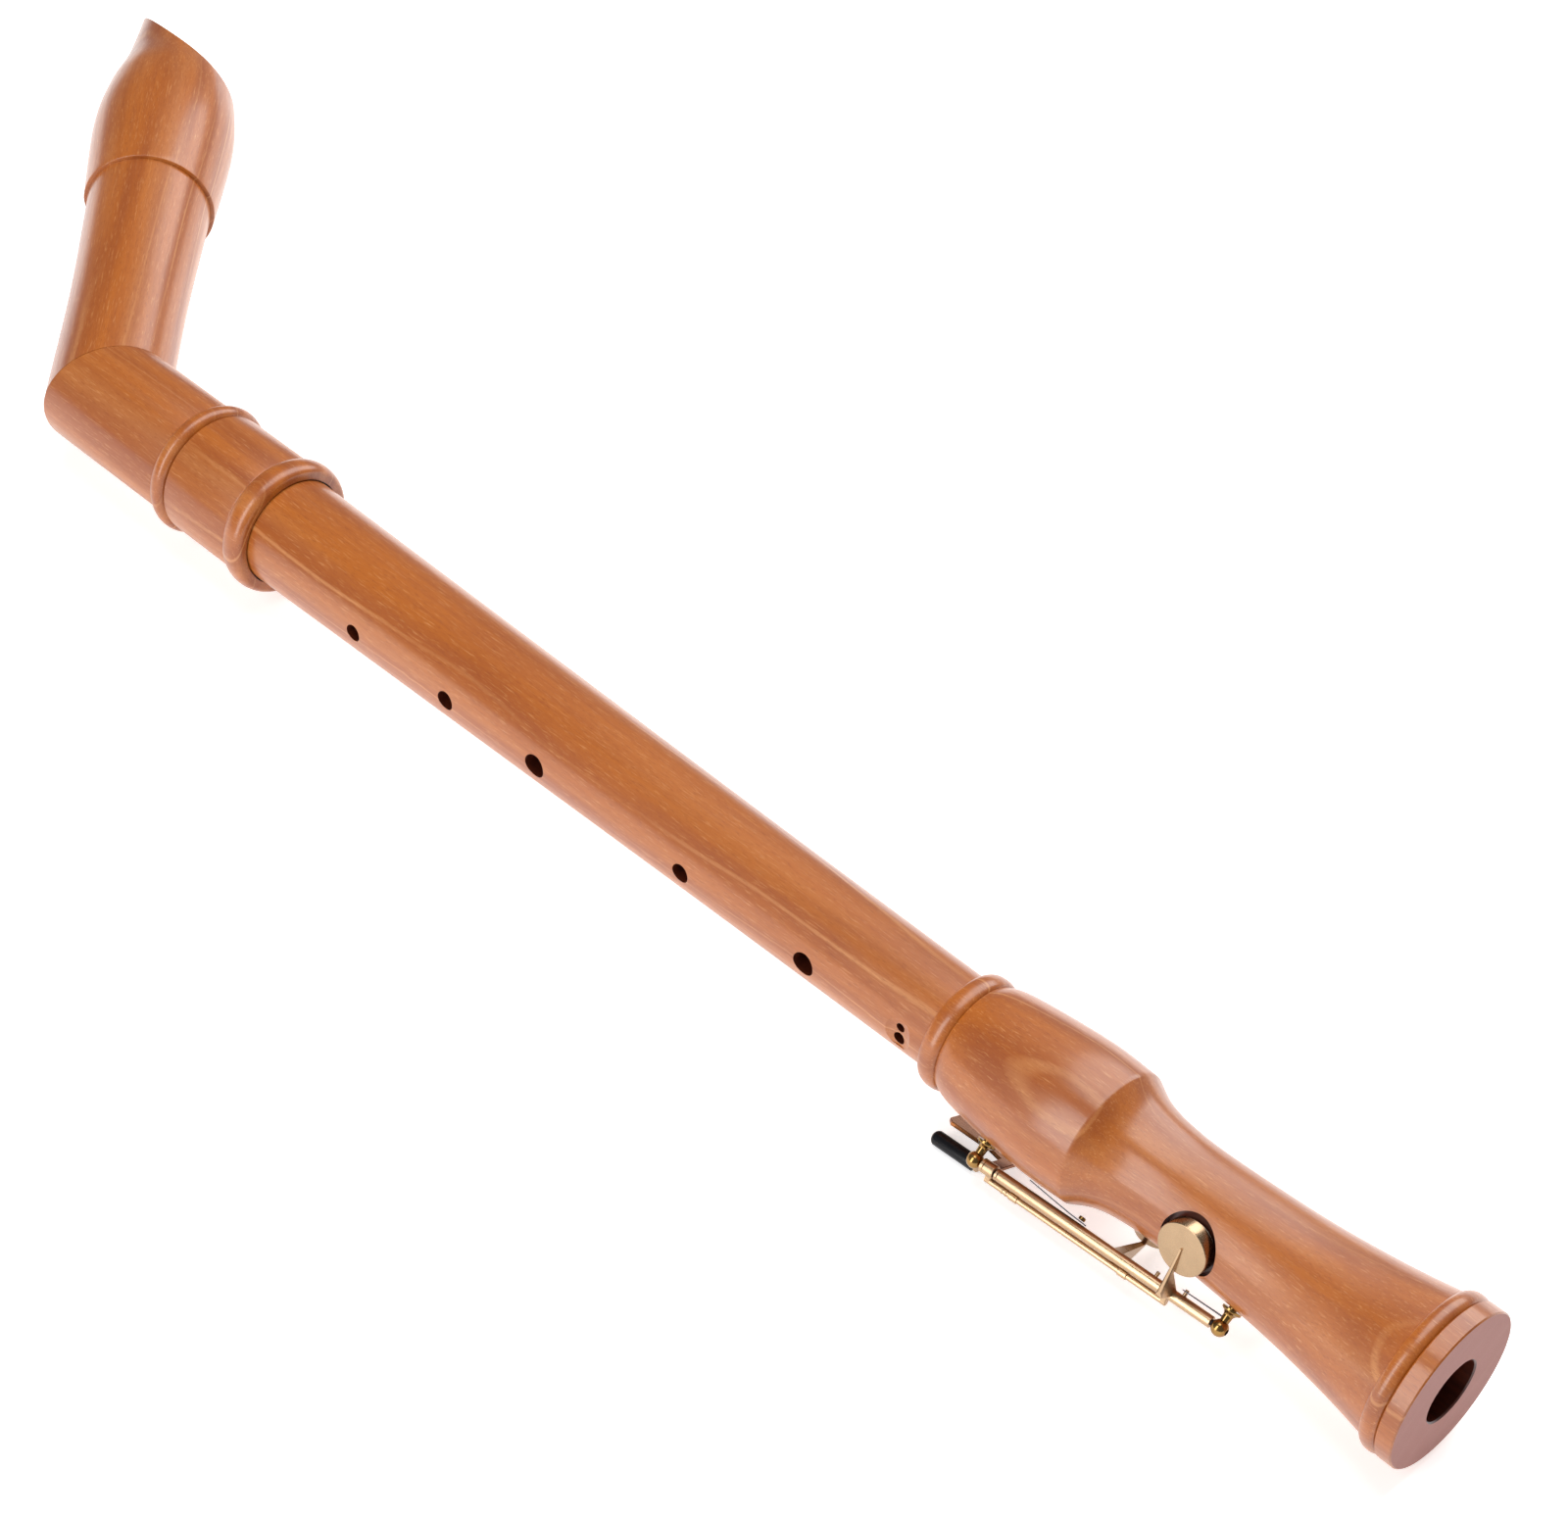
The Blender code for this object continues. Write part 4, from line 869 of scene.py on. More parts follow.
def foot_side(edge):
    """The foot's outer side, from the bell's rim to the bead at its top."""
    flare = WAIST_STATION - BELL_BEAD_END
    cove = RIDGE_STATION - WAIST_STATION
    rise = BELL_NECK_RADIUS - WAIST_RADIUS
    lift = RIDGE_RADIUS - WAIST_RADIUS
    fall = BARREL_RADIUS - FOOT_GROOVE_RADIUS
    shoulder = FOOT_BEAD_START - BARREL_STATION
    flare_line = [
        (BELL_NECK_RADIUS, -BELL_BEAD_END),
        (WAIST_RADIUS + 0.57 * rise, -BELL_BEAD_END - 0.25 * flare),
        (WAIST_RADIUS + 0.20 * rise, -BELL_BEAD_END - 0.58 * flare),
        (WAIST_RADIUS, -WAIST_STATION),
        (WAIST_RADIUS + 0.06 * lift, -WAIST_STATION - 0.45 * cove),
        (WAIST_RADIUS + 0.36 * lift, -WAIST_STATION - 0.76 * cove),
        (RIDGE_RADIUS, -RIDGE_STATION),
    ]
    barrel_line = [
        (RIDGE_RADIUS, -RIDGE_STATION),
        (BARREL_RADIUS, -BARREL_STATION),
        (FOOT_GROOVE_RADIUS + 0.70 * fall, -BARREL_STATION - 0.52 * shoulder),
        (FOOT_GROOVE_RADIUS + 0.36 * fall, -BARREL_STATION - 0.86 * shoulder),
        (FOOT_GROOVE_RADIUS, -FOOT_BEAD_START),
    ]
    quirk = BELL_RADIUS - 2 * QUIRK
    line = [(BELL_RADIUS - edge, 0), (BELL_RADIUS, -edge), (BELL_RADIUS, -PLINTH_LENGTH + edge)]
    line += [(BELL_RADIUS - edge, -PLINTH_LENGTH), (quirk, -PLINTH_LENGTH)]
    line += bead(-PLINTH_LENGTH, -BELL_BEAD_END, BELL_BEAD_RADIUS, quirk)
    line += smooth_line(flare_line)
    line += smooth_line(barrel_line)[1:]
    line += bead(-FOOT_BEAD_START, -FOOT_LENGTH, FOOT_BEAD_RADIUS, FOOT_GROOVE_RADIUS - QUIRK / 2)
    return line


def wood_radius(station):
    """The foot's outer radius at a station."""
    line = foot_side(0)
    for (r0, z0), (r1, z1) in zip(line, line[1:]):
        if z1 <= -station <= z0 and z0 != z1:
            return r0 + (r1 - r0) * (z0 + station) / (z0 - z1)
    return 0.0


def hole_cutter(name, start, direction, radius, depth, sides=48):
    """A round cutter that leaves the bore's finish on the hole's wall."""
    return rod(name, start, start + direction * depth, radius, RECORDER, sides, slot=BORE)


class RECORDER_OT_foot(bpy.types.Operator):
    """Turn the foot joint, and cut the seats of its pads and posts"""

    bl_idname = "recorder.foot"
    bl_label = "Foot joint"

    def execute(self, context):
        wood = context.scene.recorder_wood
        line = foot_side(wood.edge)
        side_end = len(line) - 1
        socket = LOWER_TENON_RADIUS + SOCKET_CLEARANCE
        floor = -(FOOT_LENGTH - LOWER_TENON - SEAT_GAP)
        line += [
            (socket + wood.edge, -FOOT_LENGTH),
            (socket, -FOOT_LENGTH + wood.edge),
            (socket, floor),
            (FOOT_BORE, floor),
            (FOOT_BORE + 0.2 * MM, -wood.edge),
            (FOOT_BORE + 0.2 * MM + wood.edge, 0),
        ]
        patches = [(side_end, END_GRAIN), (side_end + 1, BORE), (len(line) - 1, END_GRAIN)]
        foot = lathe("foot_wood", line, BORE_LINE, wood.sides, patches)
        cutters = []
        reach = 2 * BARREL_RADIUS
        for station, angle in ((C_SHARP_STATION, C_SHARP_ANGLE), (C_STATION, C_ANGLE)):
            out = outward(angle)
            seat = at(station, PAD_SEAT_FLOOR, angle)
            cutters.append(hole_cutter("seat", seat, out, PAD_SEAT_RADIUS, reach, 72))
            cutters.append(hole_cutter("tone", at(station), out, TONE_HOLE_RADIUS, reach))
        depth = SHANK_LENGTH + 2 * SEAT_GAP
        radius = SHANK_RADIUS + BEARING_GAP
        for station in (UPPER_POST, LOWER_POST):
            start = at(station, wood_radius(station) - depth, HINGE_ANGLE)
            cutters.append(hole_cutter("shank", start, outward(HINGE_ANGLE), radius, 2 * depth))
        combine(foot, cutters)
        clean(foot)
        install(foot, "foot", "foot_joint", turned_finishes("foot"))
        return {"FINISHED"}


def cork_groove(radius, middle):
    """A tenon's cork groove round a station, as (radius, height) points."""
    start, end = middle - CORK_LENGTH / 2, middle + CORK_LENGTH / 2
    low = radius - CORK_DEPTH
    return [(radius, -start), (low, -start), (low, -end), (radius, -end)]


LOWER_CORK = FOOT_LENGTH - LOWER_TENON / 2
UPPER_CORK = MIDDLE_TOP + SOCKET_MOUTH + UPPER_TENON / 2


class RECORDER_OT_middle(bpy.types.Operator):
    """Turn the middle joint with its two tenons, and drill its finger holes"""

    bl_idname = "recorder.middle"
    bl_label = "Middle joint"

    def execute(self, context):
        wood = context.scene.recorder_wood
        edge = wood.edge
        bottom = -(FOOT_LENGTH - LOWER_TENON)
        low = -(FOOT_LENGTH + SEAT_GAP)
        high = -(MIDDLE_TOP + SOCKET_MOUTH - SEAT_GAP)
        top = high - UPPER_TENON + SEAT_GAP
        length = low - high
        growth = MIDDLE_TOP_RADIUS - MIDDLE_LOW_RADIUS
        side = smooth_line(
            [
                (MIDDLE_LOW_RADIUS, low - edge),
                (MIDDLE_LOW_RADIUS + 0.22 * growth, low - 0.30 * length),
                (MIDDLE_LOW_RADIUS + 0.58 * growth, low - 0.63 * length),
                (MIDDLE_TOP_RADIUS, high + edge),
            ]
        )
        line = [(LOWER_TENON_RADIUS - edge, bottom), (LOWER_TENON_RADIUS, bottom - edge)]
        line += cork_groove(LOWER_TENON_RADIUS, LOWER_CORK)
        line += [(LOWER_TENON_RADIUS, low), (MIDDLE_LOW_RADIUS - edge, low)]
        line += side + [(MIDDLE_TOP_RADIUS - edge, high)]
        line += [(UPPER_TENON_RADIUS, high)]
        line += cork_groove(UPPER_TENON_RADIUS, UPPER_CORK)
        line += [(UPPER_TENON_RADIUS, top + edge), (UPPER_TENON_RADIUS - edge, top)]
        bore = len(line)
        line += [(MIDDLE_TOP_BORE, top), (FOOT_BORE + SEAT_GAP, bottom)]
        patches = [(bore - 1, END_GRAIN), (bore, BORE)]
        middle = lathe("middle_wood", line, BORE_LINE, wood.sides, patches)
        reach = 2 * MIDDLE_TOP_RADIUS
        centre = at(DOUBLE_HOLE_STATION, MIDDLE_LOW_RADIUS + SCOOP_RADIUS - SCOOP_DEPTH)
        half = Vector((0, 0, SCOOP_WIDTH / 2))
        cutters = [rod("scoop", centre - half, centre + half, SCOOP_RADIUS, RECORDER, 96)]
        front = outward(0)
        for station, diameter in FINGER_HOLES:
            cutters.append(hole_cutter("finger", at(station), front, diameter / 2, reach))
        for diameter, offset in DOUBLE_HOLES:
            start = at(DOUBLE_HOLE_STATION) + Vector((0, 0, offset))
            cutters.append(hole_cutter("small", start, front, diameter / 2, reach, 36))
        thumb = at(THUMB_STATION)
        cutters.append(hole_cutter("thumb", thumb, -front, THUMB_DIAMETER / 2, reach))
        combine(middle, cutters)
        clean(middle)
        finishes = turned_finishes("middle")
        install(middle, "middle", "middle_joint", finishes, 18 * DEG)
        return {"FINISHED"}


class RECORDER_OT_corks(bpy.types.Operator):
    """Wrap both tenons with cork"""

    bl_idname = "recorder.corks"
    bl_label = "Tenon corks"

    def execute(self, context):
        sides = context.scene.recorder_wood.sides
        for name, radius, middle in (
            ("lower", LOWER_TENON_RADIUS, LOWER_CORK),
            ("upper", UPPER_TENON_RADIUS, UPPER_CORK),
        ):
            half = CORK_LENGTH / 2 - CORK_GAP
            outer = radius + SOCKET_CLEARANCE - CORK_GAP
            inner = radius - CORK_DEPTH + CORK_GAP
            soft = 0.5 * MM
            top, bottom = -middle + half, -middle - half
            line = arc((outer - soft, top - soft), soft, math.pi / 2, 0, 4)
            line += arc((outer - soft, bottom + soft), soft, 0, -math.pi / 2, 4)
            line += [(inner, bottom), (inner, top)]
            ring = lathe(f"{name}_cork_wrap", line, BORE_LINE, sides)
            install(ring, "middle", f"{name}_tenon_cork", ["tenon_cork"])
        return {"FINISHED"}


def mitre_block(toward_beak):
    """A block on one side of the elbow's mitre plane."""
    normal = Vector((-1 - math.cos(BEND), math.sin(BEND), 0)).normalized()
    if not toward_beak:
        normal = -normal
    size = 8 * ELBOW_RADIUS
    centre = at(ELBOW_STATION) + normal * (size / 2 - SEAT_GAP / 4)
    return block("mitre", (size, size, size), HEAD @ facing(centre, normal))


class RECORDER_OT_socket(bpy.types.Operator):
    """Turn the lower head piece: its socket, two beads and half of the elbow"""

    bl_idname = "recorder.socket"
    bl_label = "Head socket piece"

    def execute(self, context):
        wood = context.scene.recorder_wood
        start = MIDDLE_TOP
        bead_end = start + SOCKET_BEAD_LENGTH
        thin_end = THIN_BEAD_START + THIN_BEAD_LENGTH
        far_end = ELBOW_STATION + 1.5 * ELBOW_RADIUS
        mouth = MIDDLE_TOP_RADIUS + SOCKET_CLEARANCE
        socket = UPPER_TENON_RADIUS + SOCKET_CLEARANCE
        floor = start + SOCKET_MOUTH
        socket_floor = floor + UPPER_TENON
        line = bead(-start, -bead_end, SOCKET_BEAD_RADIUS, SOCKET_WALL_RADIUS - QUIRK / 2)
        line += [
            (SOCKET_WALL_RADIUS, -bead_end - QUIRK),
            (SOCKET_WALL_RADIUS, -THIN_BEAD_START + QUIRK),
        ]
        line += bead(-THIN_BEAD_START, -thin_end, THIN_BEAD_RADIUS, ELBOW_RADIUS - QUIRK / 2)
        line += [(ELBOW_RADIUS, -thin_end - QUIRK), (ELBOW_RADIUS, -far_end)]
        bore = len(line)
        line += [
            (HEAD_BORE, -far_end),
            (HEAD_BORE, -socket_floor),
            (socket, -socket_floor),
            (socket, -floor),
            (mouth, -floor),
            (mouth, -start),
        ]
        patches = [(bore, BORE), (len(line) - 1, OUTSIDE)]
        piece = lathe("socket_wood", line, HEAD_LINE, wood.sides, patches)
        combine(piece, [mitre_block(True)])
        clean(piece)
        install(piece, "head", "head_socket_piece", turned_finishes("socket"))
        return {"FINISHED"}


def beak_hollow(gap):
    """The large cylinder that hollows the underside of the beak."""
    tip = Vector((TIP_RADIUS - 1.6 * MM, 0, TIP_DISTANCE + gap))
    heel = Vector((-SWELL_RADIUS, 0, HEEL_DISTANCE + gap))
    chord = heel - tip
    away = Vector((-chord.z, 0, chord.x)).normalized()
    if away.z < 0:
        away = -away
    centre = (tip + heel) / 2 + away * math.sqrt(BEAK_CUT_RADIUS**2 - (chord.length / 2) ** 2)
    half = Vector((0, 2 * SWELL_RADIUS, 0))
    return rod("hollow", centre - half, centre + half, BEAK_CUT_RADIUS, BEAK_LINE, 360)


def beak_side():
    """The upper head piece's outer side, from the beak's tip down past the elbow."""
    swell = SWELL_RADIUS - TIP_RADIUS
    reach = TIP_DISTANCE - SWELL_DISTANCE
    beak_line = [
        (TIP_RADIUS, TIP_DISTANCE),
        (TIP_RADIUS + 0.30 * swell, SWELL_DISTANCE + 0.63 * reach),
        (TIP_RADIUS + 0.80 * swell, SWELL_DISTANCE + 0.32 * reach),
        (SWELL_RADIUS, SWELL_DISTANCE),
        (STEP_RADIUS, STEP_DISTANCE),
    ]
    neck_line = [
        (NECK_RADIUS, STEP_DISTANCE),
        (0.2 * NECK_RADIUS + 0.8 * (ELBOW_RADIUS - QUIRK), 0.5 * STEP_DISTANCE),
        (ELBOW_RADIUS, 0),
    ]
    return smooth_line(beak_line), smooth_line(neck_line) + [(ELBOW_RADIUS, -1.5 * ELBOW_RADIUS)]


class RECORDER_OT_beak(bpy.types.Operator):
    """Turn the upper head piece, and cut its beak, windway, window and lip"""

    bl_idname = "recorder.beak"
    bl_label = "Beak piece"

    def execute(self, context):
        wood = context.scene.recorder_wood
        beak_line, neck_line = beak_side()
        soft = 0.3 * MM
        edge_of_step = arc((STEP_RADIUS - soft, STEP_DISTANCE + soft), soft, 0, -math.pi / 2, 4)
        line = beak_line[:-1] + edge_of_step + neck_line
        bore = len(line)
        line += [(HEAD_BORE, -1.5 * ELBOW_RADIUS), (HEAD_BORE, TIP_DISTANCE)]
        patches = [(bore, BORE), (bore + 1, OUTSIDE)]
        piece = lathe("beak_wood", line, BEAK_LINE, wood.sides, patches)
        length = 1.1 * (TIP_DISTANCE - WINDOW_DISTANCE)
        windway = Matrix.Translation((WINDWAY_ROOF / 2, 0, WINDOW_DISTANCE + length / 2))
        window_x = (SWELL_RADIUS + WINDWAY_FLOOR) / 2
        window = Matrix.Translation((window_x, 0, WINDOW_DISTANCE + WINDOW_LENGTH / 2))
        window_size = (SWELL_RADIUS, WINDWAY_WIDTH, WINDOW_LENGTH)
        outside = 2 * SWELL_RADIUS
        top = WINDOW_DISTANCE + 0.01 * MM
        ramp = [
            (HEAD_BORE + LIP_THICKNESS, top),
            (outside, top),
            (outside, WINDOW_DISTANCE - RAMP_LENGTH),
            (SWELL_RADIUS - 0.5 * MM, WINDOW_DISTANCE - RAMP_LENGTH),
        ]
        across = facing((0, 0, 0), (0, -1, 0), (1, 0, 0))
        cutters = [
            mitre_block(False),
            beak_hollow(0),
            block("windway", (WINDWAY_ROOF, WINDWAY_WIDTH, length), BEAK_LINE @ windway),
            block("window", window_size, BEAK_LINE @ window),
            slab("ramp", ramp, WINDWAY_WIDTH, BEAK_LINE @ across),
        ]
        combine(piece, cutters)
        clean(piece)
        install(piece, "head", "head_beak_piece", turned_finishes("beak"))
        return {"FINISHED"}


class RECORDER_OT_block(bpy.types.Operator):
    """Fit the cedar block that closes the head and forms the windway's floor"""

    bl_idname = "recorder.block"
    bl_label = "Windway block"

    def execute(self, context):
        radius = HEAD_BORE - SEAT_GAP
        bottom = WINDOW_DISTANCE + WINDOW_LENGTH
        edge = 0.3 * MM
        line = [(0, TIP_DISTANCE), (radius, TIP_DISTANCE)]
        line += [(radius, bottom + edge), (radius - edge, bottom), (0, bottom)]
        piece = lathe("windway_block", line, BEAK_LINE, context.scene.recorder_wood.sides)
        above = Matrix.Translation((WINDWAY_FLOOR + radius / 2, 0, TIP_DISTANCE))
        size = (radius, 3 * radius, 2 * TIP_DISTANCE)
        combine(piece, [beak_hollow(-0.1 * MM), block("floor", size, BEAK_LINE @ above)])
        clean(piece)
        install(piece, "head", "fipple_block", ["cedar_block"])
        return {"FINISHED"}


# ---------------------------------------------------------------- keys


class RECORDER_OT_posts(bpy.types.Operator):
    """Turn the two brass posts and run the hinge rod between them"""

    bl_idname = "recorder.posts"
    bl_label = "Posts and hinge rod"

    def execute(self, context):
        ball = BALL_RADIUS + BALL_SWELL
        neck = POST_NECK_RADIUS + BALL_SWELL
        join = math.asin(neck / ball)
        flange = SEAT_GAP + 0.55 * MM
        line = arc((0, POST_HEIGHT), ball, math.pi / 2, -math.pi / 2 + join, 20)
        line[0] = (0, POST_HEIGHT + ball)
        line += smooth_line(
            [
                (neck, POST_HEIGHT - 0.9 * ball),
                (1.06 * neck, 0.48 * POST_HEIGHT),
                (1.12 * neck, 0.36 * POST_HEIGHT),
                (0.70 * POST_FOOT_RADIUS, 0.25 * POST_HEIGHT),
                (0.95 * POST_FOOT_RADIUS, flange + 0.12 * MM),
            ],
            6,
        )
        line += [
            (POST_FOOT_RADIUS, flange - 0.05 * MM),
            (POST_FOOT_RADIUS, SEAT_GAP),
            (SHANK_RADIUS, SEAT_GAP),
            (SHANK_RADIUS, -SHANK_LENGTH),
            (0, -SHANK_LENGTH),
        ]
        past = 1.5 * BALL_RADIUS
        for name, station in (("upper", UPPER_POST), ("lower", LOWER_POST)):
            base = at(station, wood_radius(station), HINGE_ANGLE)
            place = RECORDER @ facing(base, outward(HINGE_ANGLE), (1, 0, 0))
            post = lathe(f"{name}_post", line, place, 48)
            start, end = hinge_at(station + past), hinge_at(station - past)
            combine(post, [rod("bore", start, end, ROD_RADIUS + BEARING_GAP, sides=24)])
            clean(post)
            finishes = ["golden_brass"]
            install(post, "foot", f"{name}_pillar", finishes, 40 * DEG)
        inset = BALL_RADIUS - 0.4 * MM
        start, end = hinge_at(UPPER_POST + inset), hinge_at(LOWER_POST - inset)
        pin = rod("hinge_pin", start, end, ROD_RADIUS, sides=24, edge=0.12 * MM)
        size = (4 * ROD_RADIUS, SCREW_SLOT, SCREW_SLOT)
        combine(pin, [block("slot", size, facing(point, HINGE_AXIS)) for point in (start, end)])
        install(pin, "foot", "hinge_rod", ["blued_steel"])
        return {"FINISHED"}


def make_cup(name, station, angle, key, body):
    """A pad in its cup, placed as if pressed shut and then turned with its key."""
    seat = at(station, PAD_SEAT_FLOOR + SEAT_GAP, angle)
    place = key @ RECORDER @ facing(seat, outward(angle), (1, 0, 0))
    soft = 0.45 * MM
    pad_line = [(0, PAD_THICKNESS), (PAD_RADIUS, PAD_THICKNESS)]
    pad_line += arc((PAD_RADIUS - soft, soft), soft, 0, -math.pi / 2, 5)
    pad_line += [(0.82 * PAD_RADIUS, 0.02 * MM), (0, 0.02 * MM)]
    pad = lathe(f"{name}_felt_pad", pad_line, place, 64)
    install(pad, body, f"{name}_pad", ["pad_skin"])
    base = PAD_THICKNESS + CORK_GAP
    top = base + CUP_THICKNESS
    skirt = base - 0.5 * PAD_THICKNESS
    rim = 0.32 * MM
    cup_line = [(0, top)]
    cup_line += arc((CUP_RADIUS - rim, top - rim), rim, math.pi / 2, 0, 5)
    cup_line += [(CUP_RADIUS, skirt + 0.1 * MM), (CUP_RADIUS - 0.1 * MM, skirt)]
    cup_line += [(PAD_RADIUS + CORK_GAP, skirt), (PAD_RADIUS + CORK_GAP, base), (0, base)]
    cup = lathe(f"{name}_cup", cup_line, place, 72)
    install(cup, body, f"{name}_pad_cup", ["cup_brass"])


def fin(name, station, cup_station, angle, height, key):
    """A pointed blade from the hinge tube to the middle of a cup: broad and tall at the tube."""
    centre = RECORDER @ at(cup_station, PAD_SEAT_FLOOR + SEAT_GAP, angle)
    normal = outward(angle)
    centre += normal * (PAD_THICKNESS + CORK_GAP + CUP_THICKNESS + 0.05 * MM)
    root = hinge_at(station) - centre
    drop = root.dot(normal)
    across = root - normal * drop
    span = across.length
    across.normalize()
    place = key @ axes(centre, across, normal)
    r = TUBE_RADIUS
    wide, narrow = ARM_THICKNESS / 2, 0.2 * MM
    near = CUP_RADIUS + 0.2 * MM
    past = -0.4 * MM
    outline = [
        (past, 0),
        (near, 0.0),
        (span - 0.7 * r, drop - 0.6 * r),
        (span - 0.35 * r, drop + 0.8 * r),
        (span - 1.1 * r, drop + r + 0.9 * height),
        (span - 2.1 * r, drop + r + height),
        (past, 0.35 * MM),
    ]
    halves = [narrow, 0.9 * wide, 1.7 * wide, 1.7 * wide, 1.2 * wide, 0.5 * wide, narrow]
    return finish_mesh(name, skin(outline, halves), place)


def link(name, station, reach, side, width, thickness, key, edge):
    """A flat link across the hinge line, from its centre to a rod beside it."""
    direction = outward(side)
    middle = hinge_at(station) + direction * (reach / 2)
    return block(name, (reach, width, thickness), key @ facing(middle, HINGE_AXIS, direction), edge)


def along(name, start, end, reach, side, radius, key, edge=0.1 * MM):
    """A rod beside the hinge line and parallel to it."""
    ends = (beside_hinge(station, reach, side) for station in (start, end))
    return rod(name, *ends, radius, key, 28, edge)


def ringed_tube(name, start, end, radius, key, rings=()):
    """A hinge tube with rounded ends and shallow grooves at the given distances from its start."""
    length = (hinge_at(end) - hinge_at(start)).length
    soft = 0.14 * MM
    line = [(0, 0), (radius - soft, 0), (radius, soft)]
    for spot in rings:
        line += [(radius, spot - soft), (radius - soft, spot), (radius, spot + soft)]
    line += [(radius, length - soft), (radius - soft, length), (0, length)]
    return lathe(name, line, key @ facing(hinge_at(start), HINGE_AXIS), 40)


def bearing(start, end, key):
    """A cutter for a tube's bore, a little longer than the tube."""
    past = 2 * MM
    ends = (hinge_at(start + past), hinge_at(end - past))
    return rod("bearing", *ends, ROD_RADIUS + BEARING_GAP, key, 24)


def peg(name, station, length, radius, key):
    """A peg from the hinge line toward the wood."""
    base = hinge_at(station)
    return rod(name, base, base - outward(HINGE_ANGLE) * length, radius, key, 20, 0.1 * MM)


class RECORDER_OT_long_key(bpy.types.Operator):
    """Make the long key, which stands open, with its roller and leaf spring"""

    bl_idname = "recorder.long_key"
    bl_label = "Long key"

    def execute(self, context):
        edge = context.scene.recorder_keys.edge
        key = LONG_KEY
        make_cup("c_key", C_STATION, C_ANGLE, key, "c_key")
        tube = (LONG_TUBE_START, LONG_TUBE_END)
        lever = ringed_tube("long_lever", *tube, TUBE_RADIUS, key, [0.9 * MM])
        strap_station = LONG_TUBE_START - 2 * MM
        roller_start = UPPER_POST + BALL_RADIUS
        roller_end = roller_start + ROLLER_LENGTH
        collar_end = roller_start - SEAT_GAP
        collar = (collar_end - 0.9 * MM, collar_end)
        place = (ROLLER_REACH, ROLLER_SIDE)
        parts = [
            fin("arm", C_STATION, C_STATION, C_ANGLE, 4.8 * MM, key),
            link("strap", strap_station, *place, 1.4 * MM, 1.8 * MM, key, edge),
            along("axle", strap_station, roller_end - ROLLER_RADIUS, *place, AXLE_RADIUS, key),
            along("collar", *collar, *place, 0.8 * ROLLER_RADIUS, key, edge),
            peg("stop", LONG_TUBE_END + 3 * MM, 2.7 * MM, STUD_RADIUS, key),
        ]
        combine(lever, parts, "UNION")
        combine(lever, [bearing(*tube, key)])
        clean(lever)
        install(lever, "c_key", "c_key_lever", ["satin_brass"])
        make_roller(roller_start, roller_end, key)
        make_leaf_spring(key)
        return {"FINISHED"}


def make_roller(start, end, key):
    """A black roller with a rounded far end, running on the long key's axle."""
    base, top = (beside_hinge(station, ROLLER_REACH, ROLLER_SIDE) for station in (start, end))
    length = (top - base).length
    dome = 0.8 * ROLLER_RADIUS
    soft, chamfer = 0.25 * MM, 0.1 * MM
    bore = AXLE_RADIUS + BEARING_GAP
    bore_end = length - ROLLER_RADIUS + SEAT_GAP
    steps = 12
    line = []
    for step in range(steps + 1):
        angle = math.pi / 2 * step / steps
        line.append((ROLLER_RADIUS * math.sin(angle), length - dome + dome * math.cos(angle)))
    line += [(ROLLER_RADIUS, soft), (ROLLER_RADIUS - soft, 0)]
    line += [(bore + chamfer, 0), (bore, chamfer), (bore, bore_end), (0, bore_end)]
    roller = lathe("black_roller", line, key @ facing(base, top - base), 48)
    install(roller, "roller", "touch_roller", ["roller_resin"])


def make_leaf_spring(key):
    """The leaf under the long tube, bent toward the barrel, and its small screw."""
    tip = SPRING_ROOT + SPRING_LENGTH
    start = (hinge_at(SPRING_ROOT) - (RECORDER @ at(SPRING_ROOT))).length - TUBE_RADIUS - SEAT_GAP
    end = wood_radius(tip) + SEAT_GAP + SPRING_THICKNESS
    thick = SPRING_THICKNESS
    bend_start = -SPRING_ROOT - 2.5 * MM
    top = [(-SPRING_ROOT + 1.5 * MM, start)]
    steps = 12
    for step in range(steps + 1):
        share = step / steps
        drop = (end - start) * share**1.15
        top.append((bend_start + (-tip - bend_start) * share, start + drop))
    outline = top + [(x, y - thick) for x, y in reversed(top)]
    place = key @ axes(BELL, Vector((1, 0, 0)), outward(HINGE_ANGLE))
    leaf = slab("leaf_spring", outline, SPRING_WIDTH, place)
    install(leaf, "c_key", "c_key_flat_spring", ["blued_steel"])
    head = RECORDER @ at(SPRING_ROOT, start - thick - CORK_GAP, HINGE_ANGLE)
    inward = -outward(HINGE_ANGLE)
    face = head + inward * SPRING_SCREW_HEIGHT
    screw = rod("leaf_screw", head, face, SPRING_SCREW_RADIUS, key, 28, 0.15 * MM)
    size = (3 * SPRING_SCREW_RADIUS, SMALL_SCREW_SLOT, SMALL_SCREW_SLOT)
    combine(screw, [block("slot", size, key @ facing(face, inward))])
    install(screw, "c_key", "flat_spring_screw", ["golden_brass"])


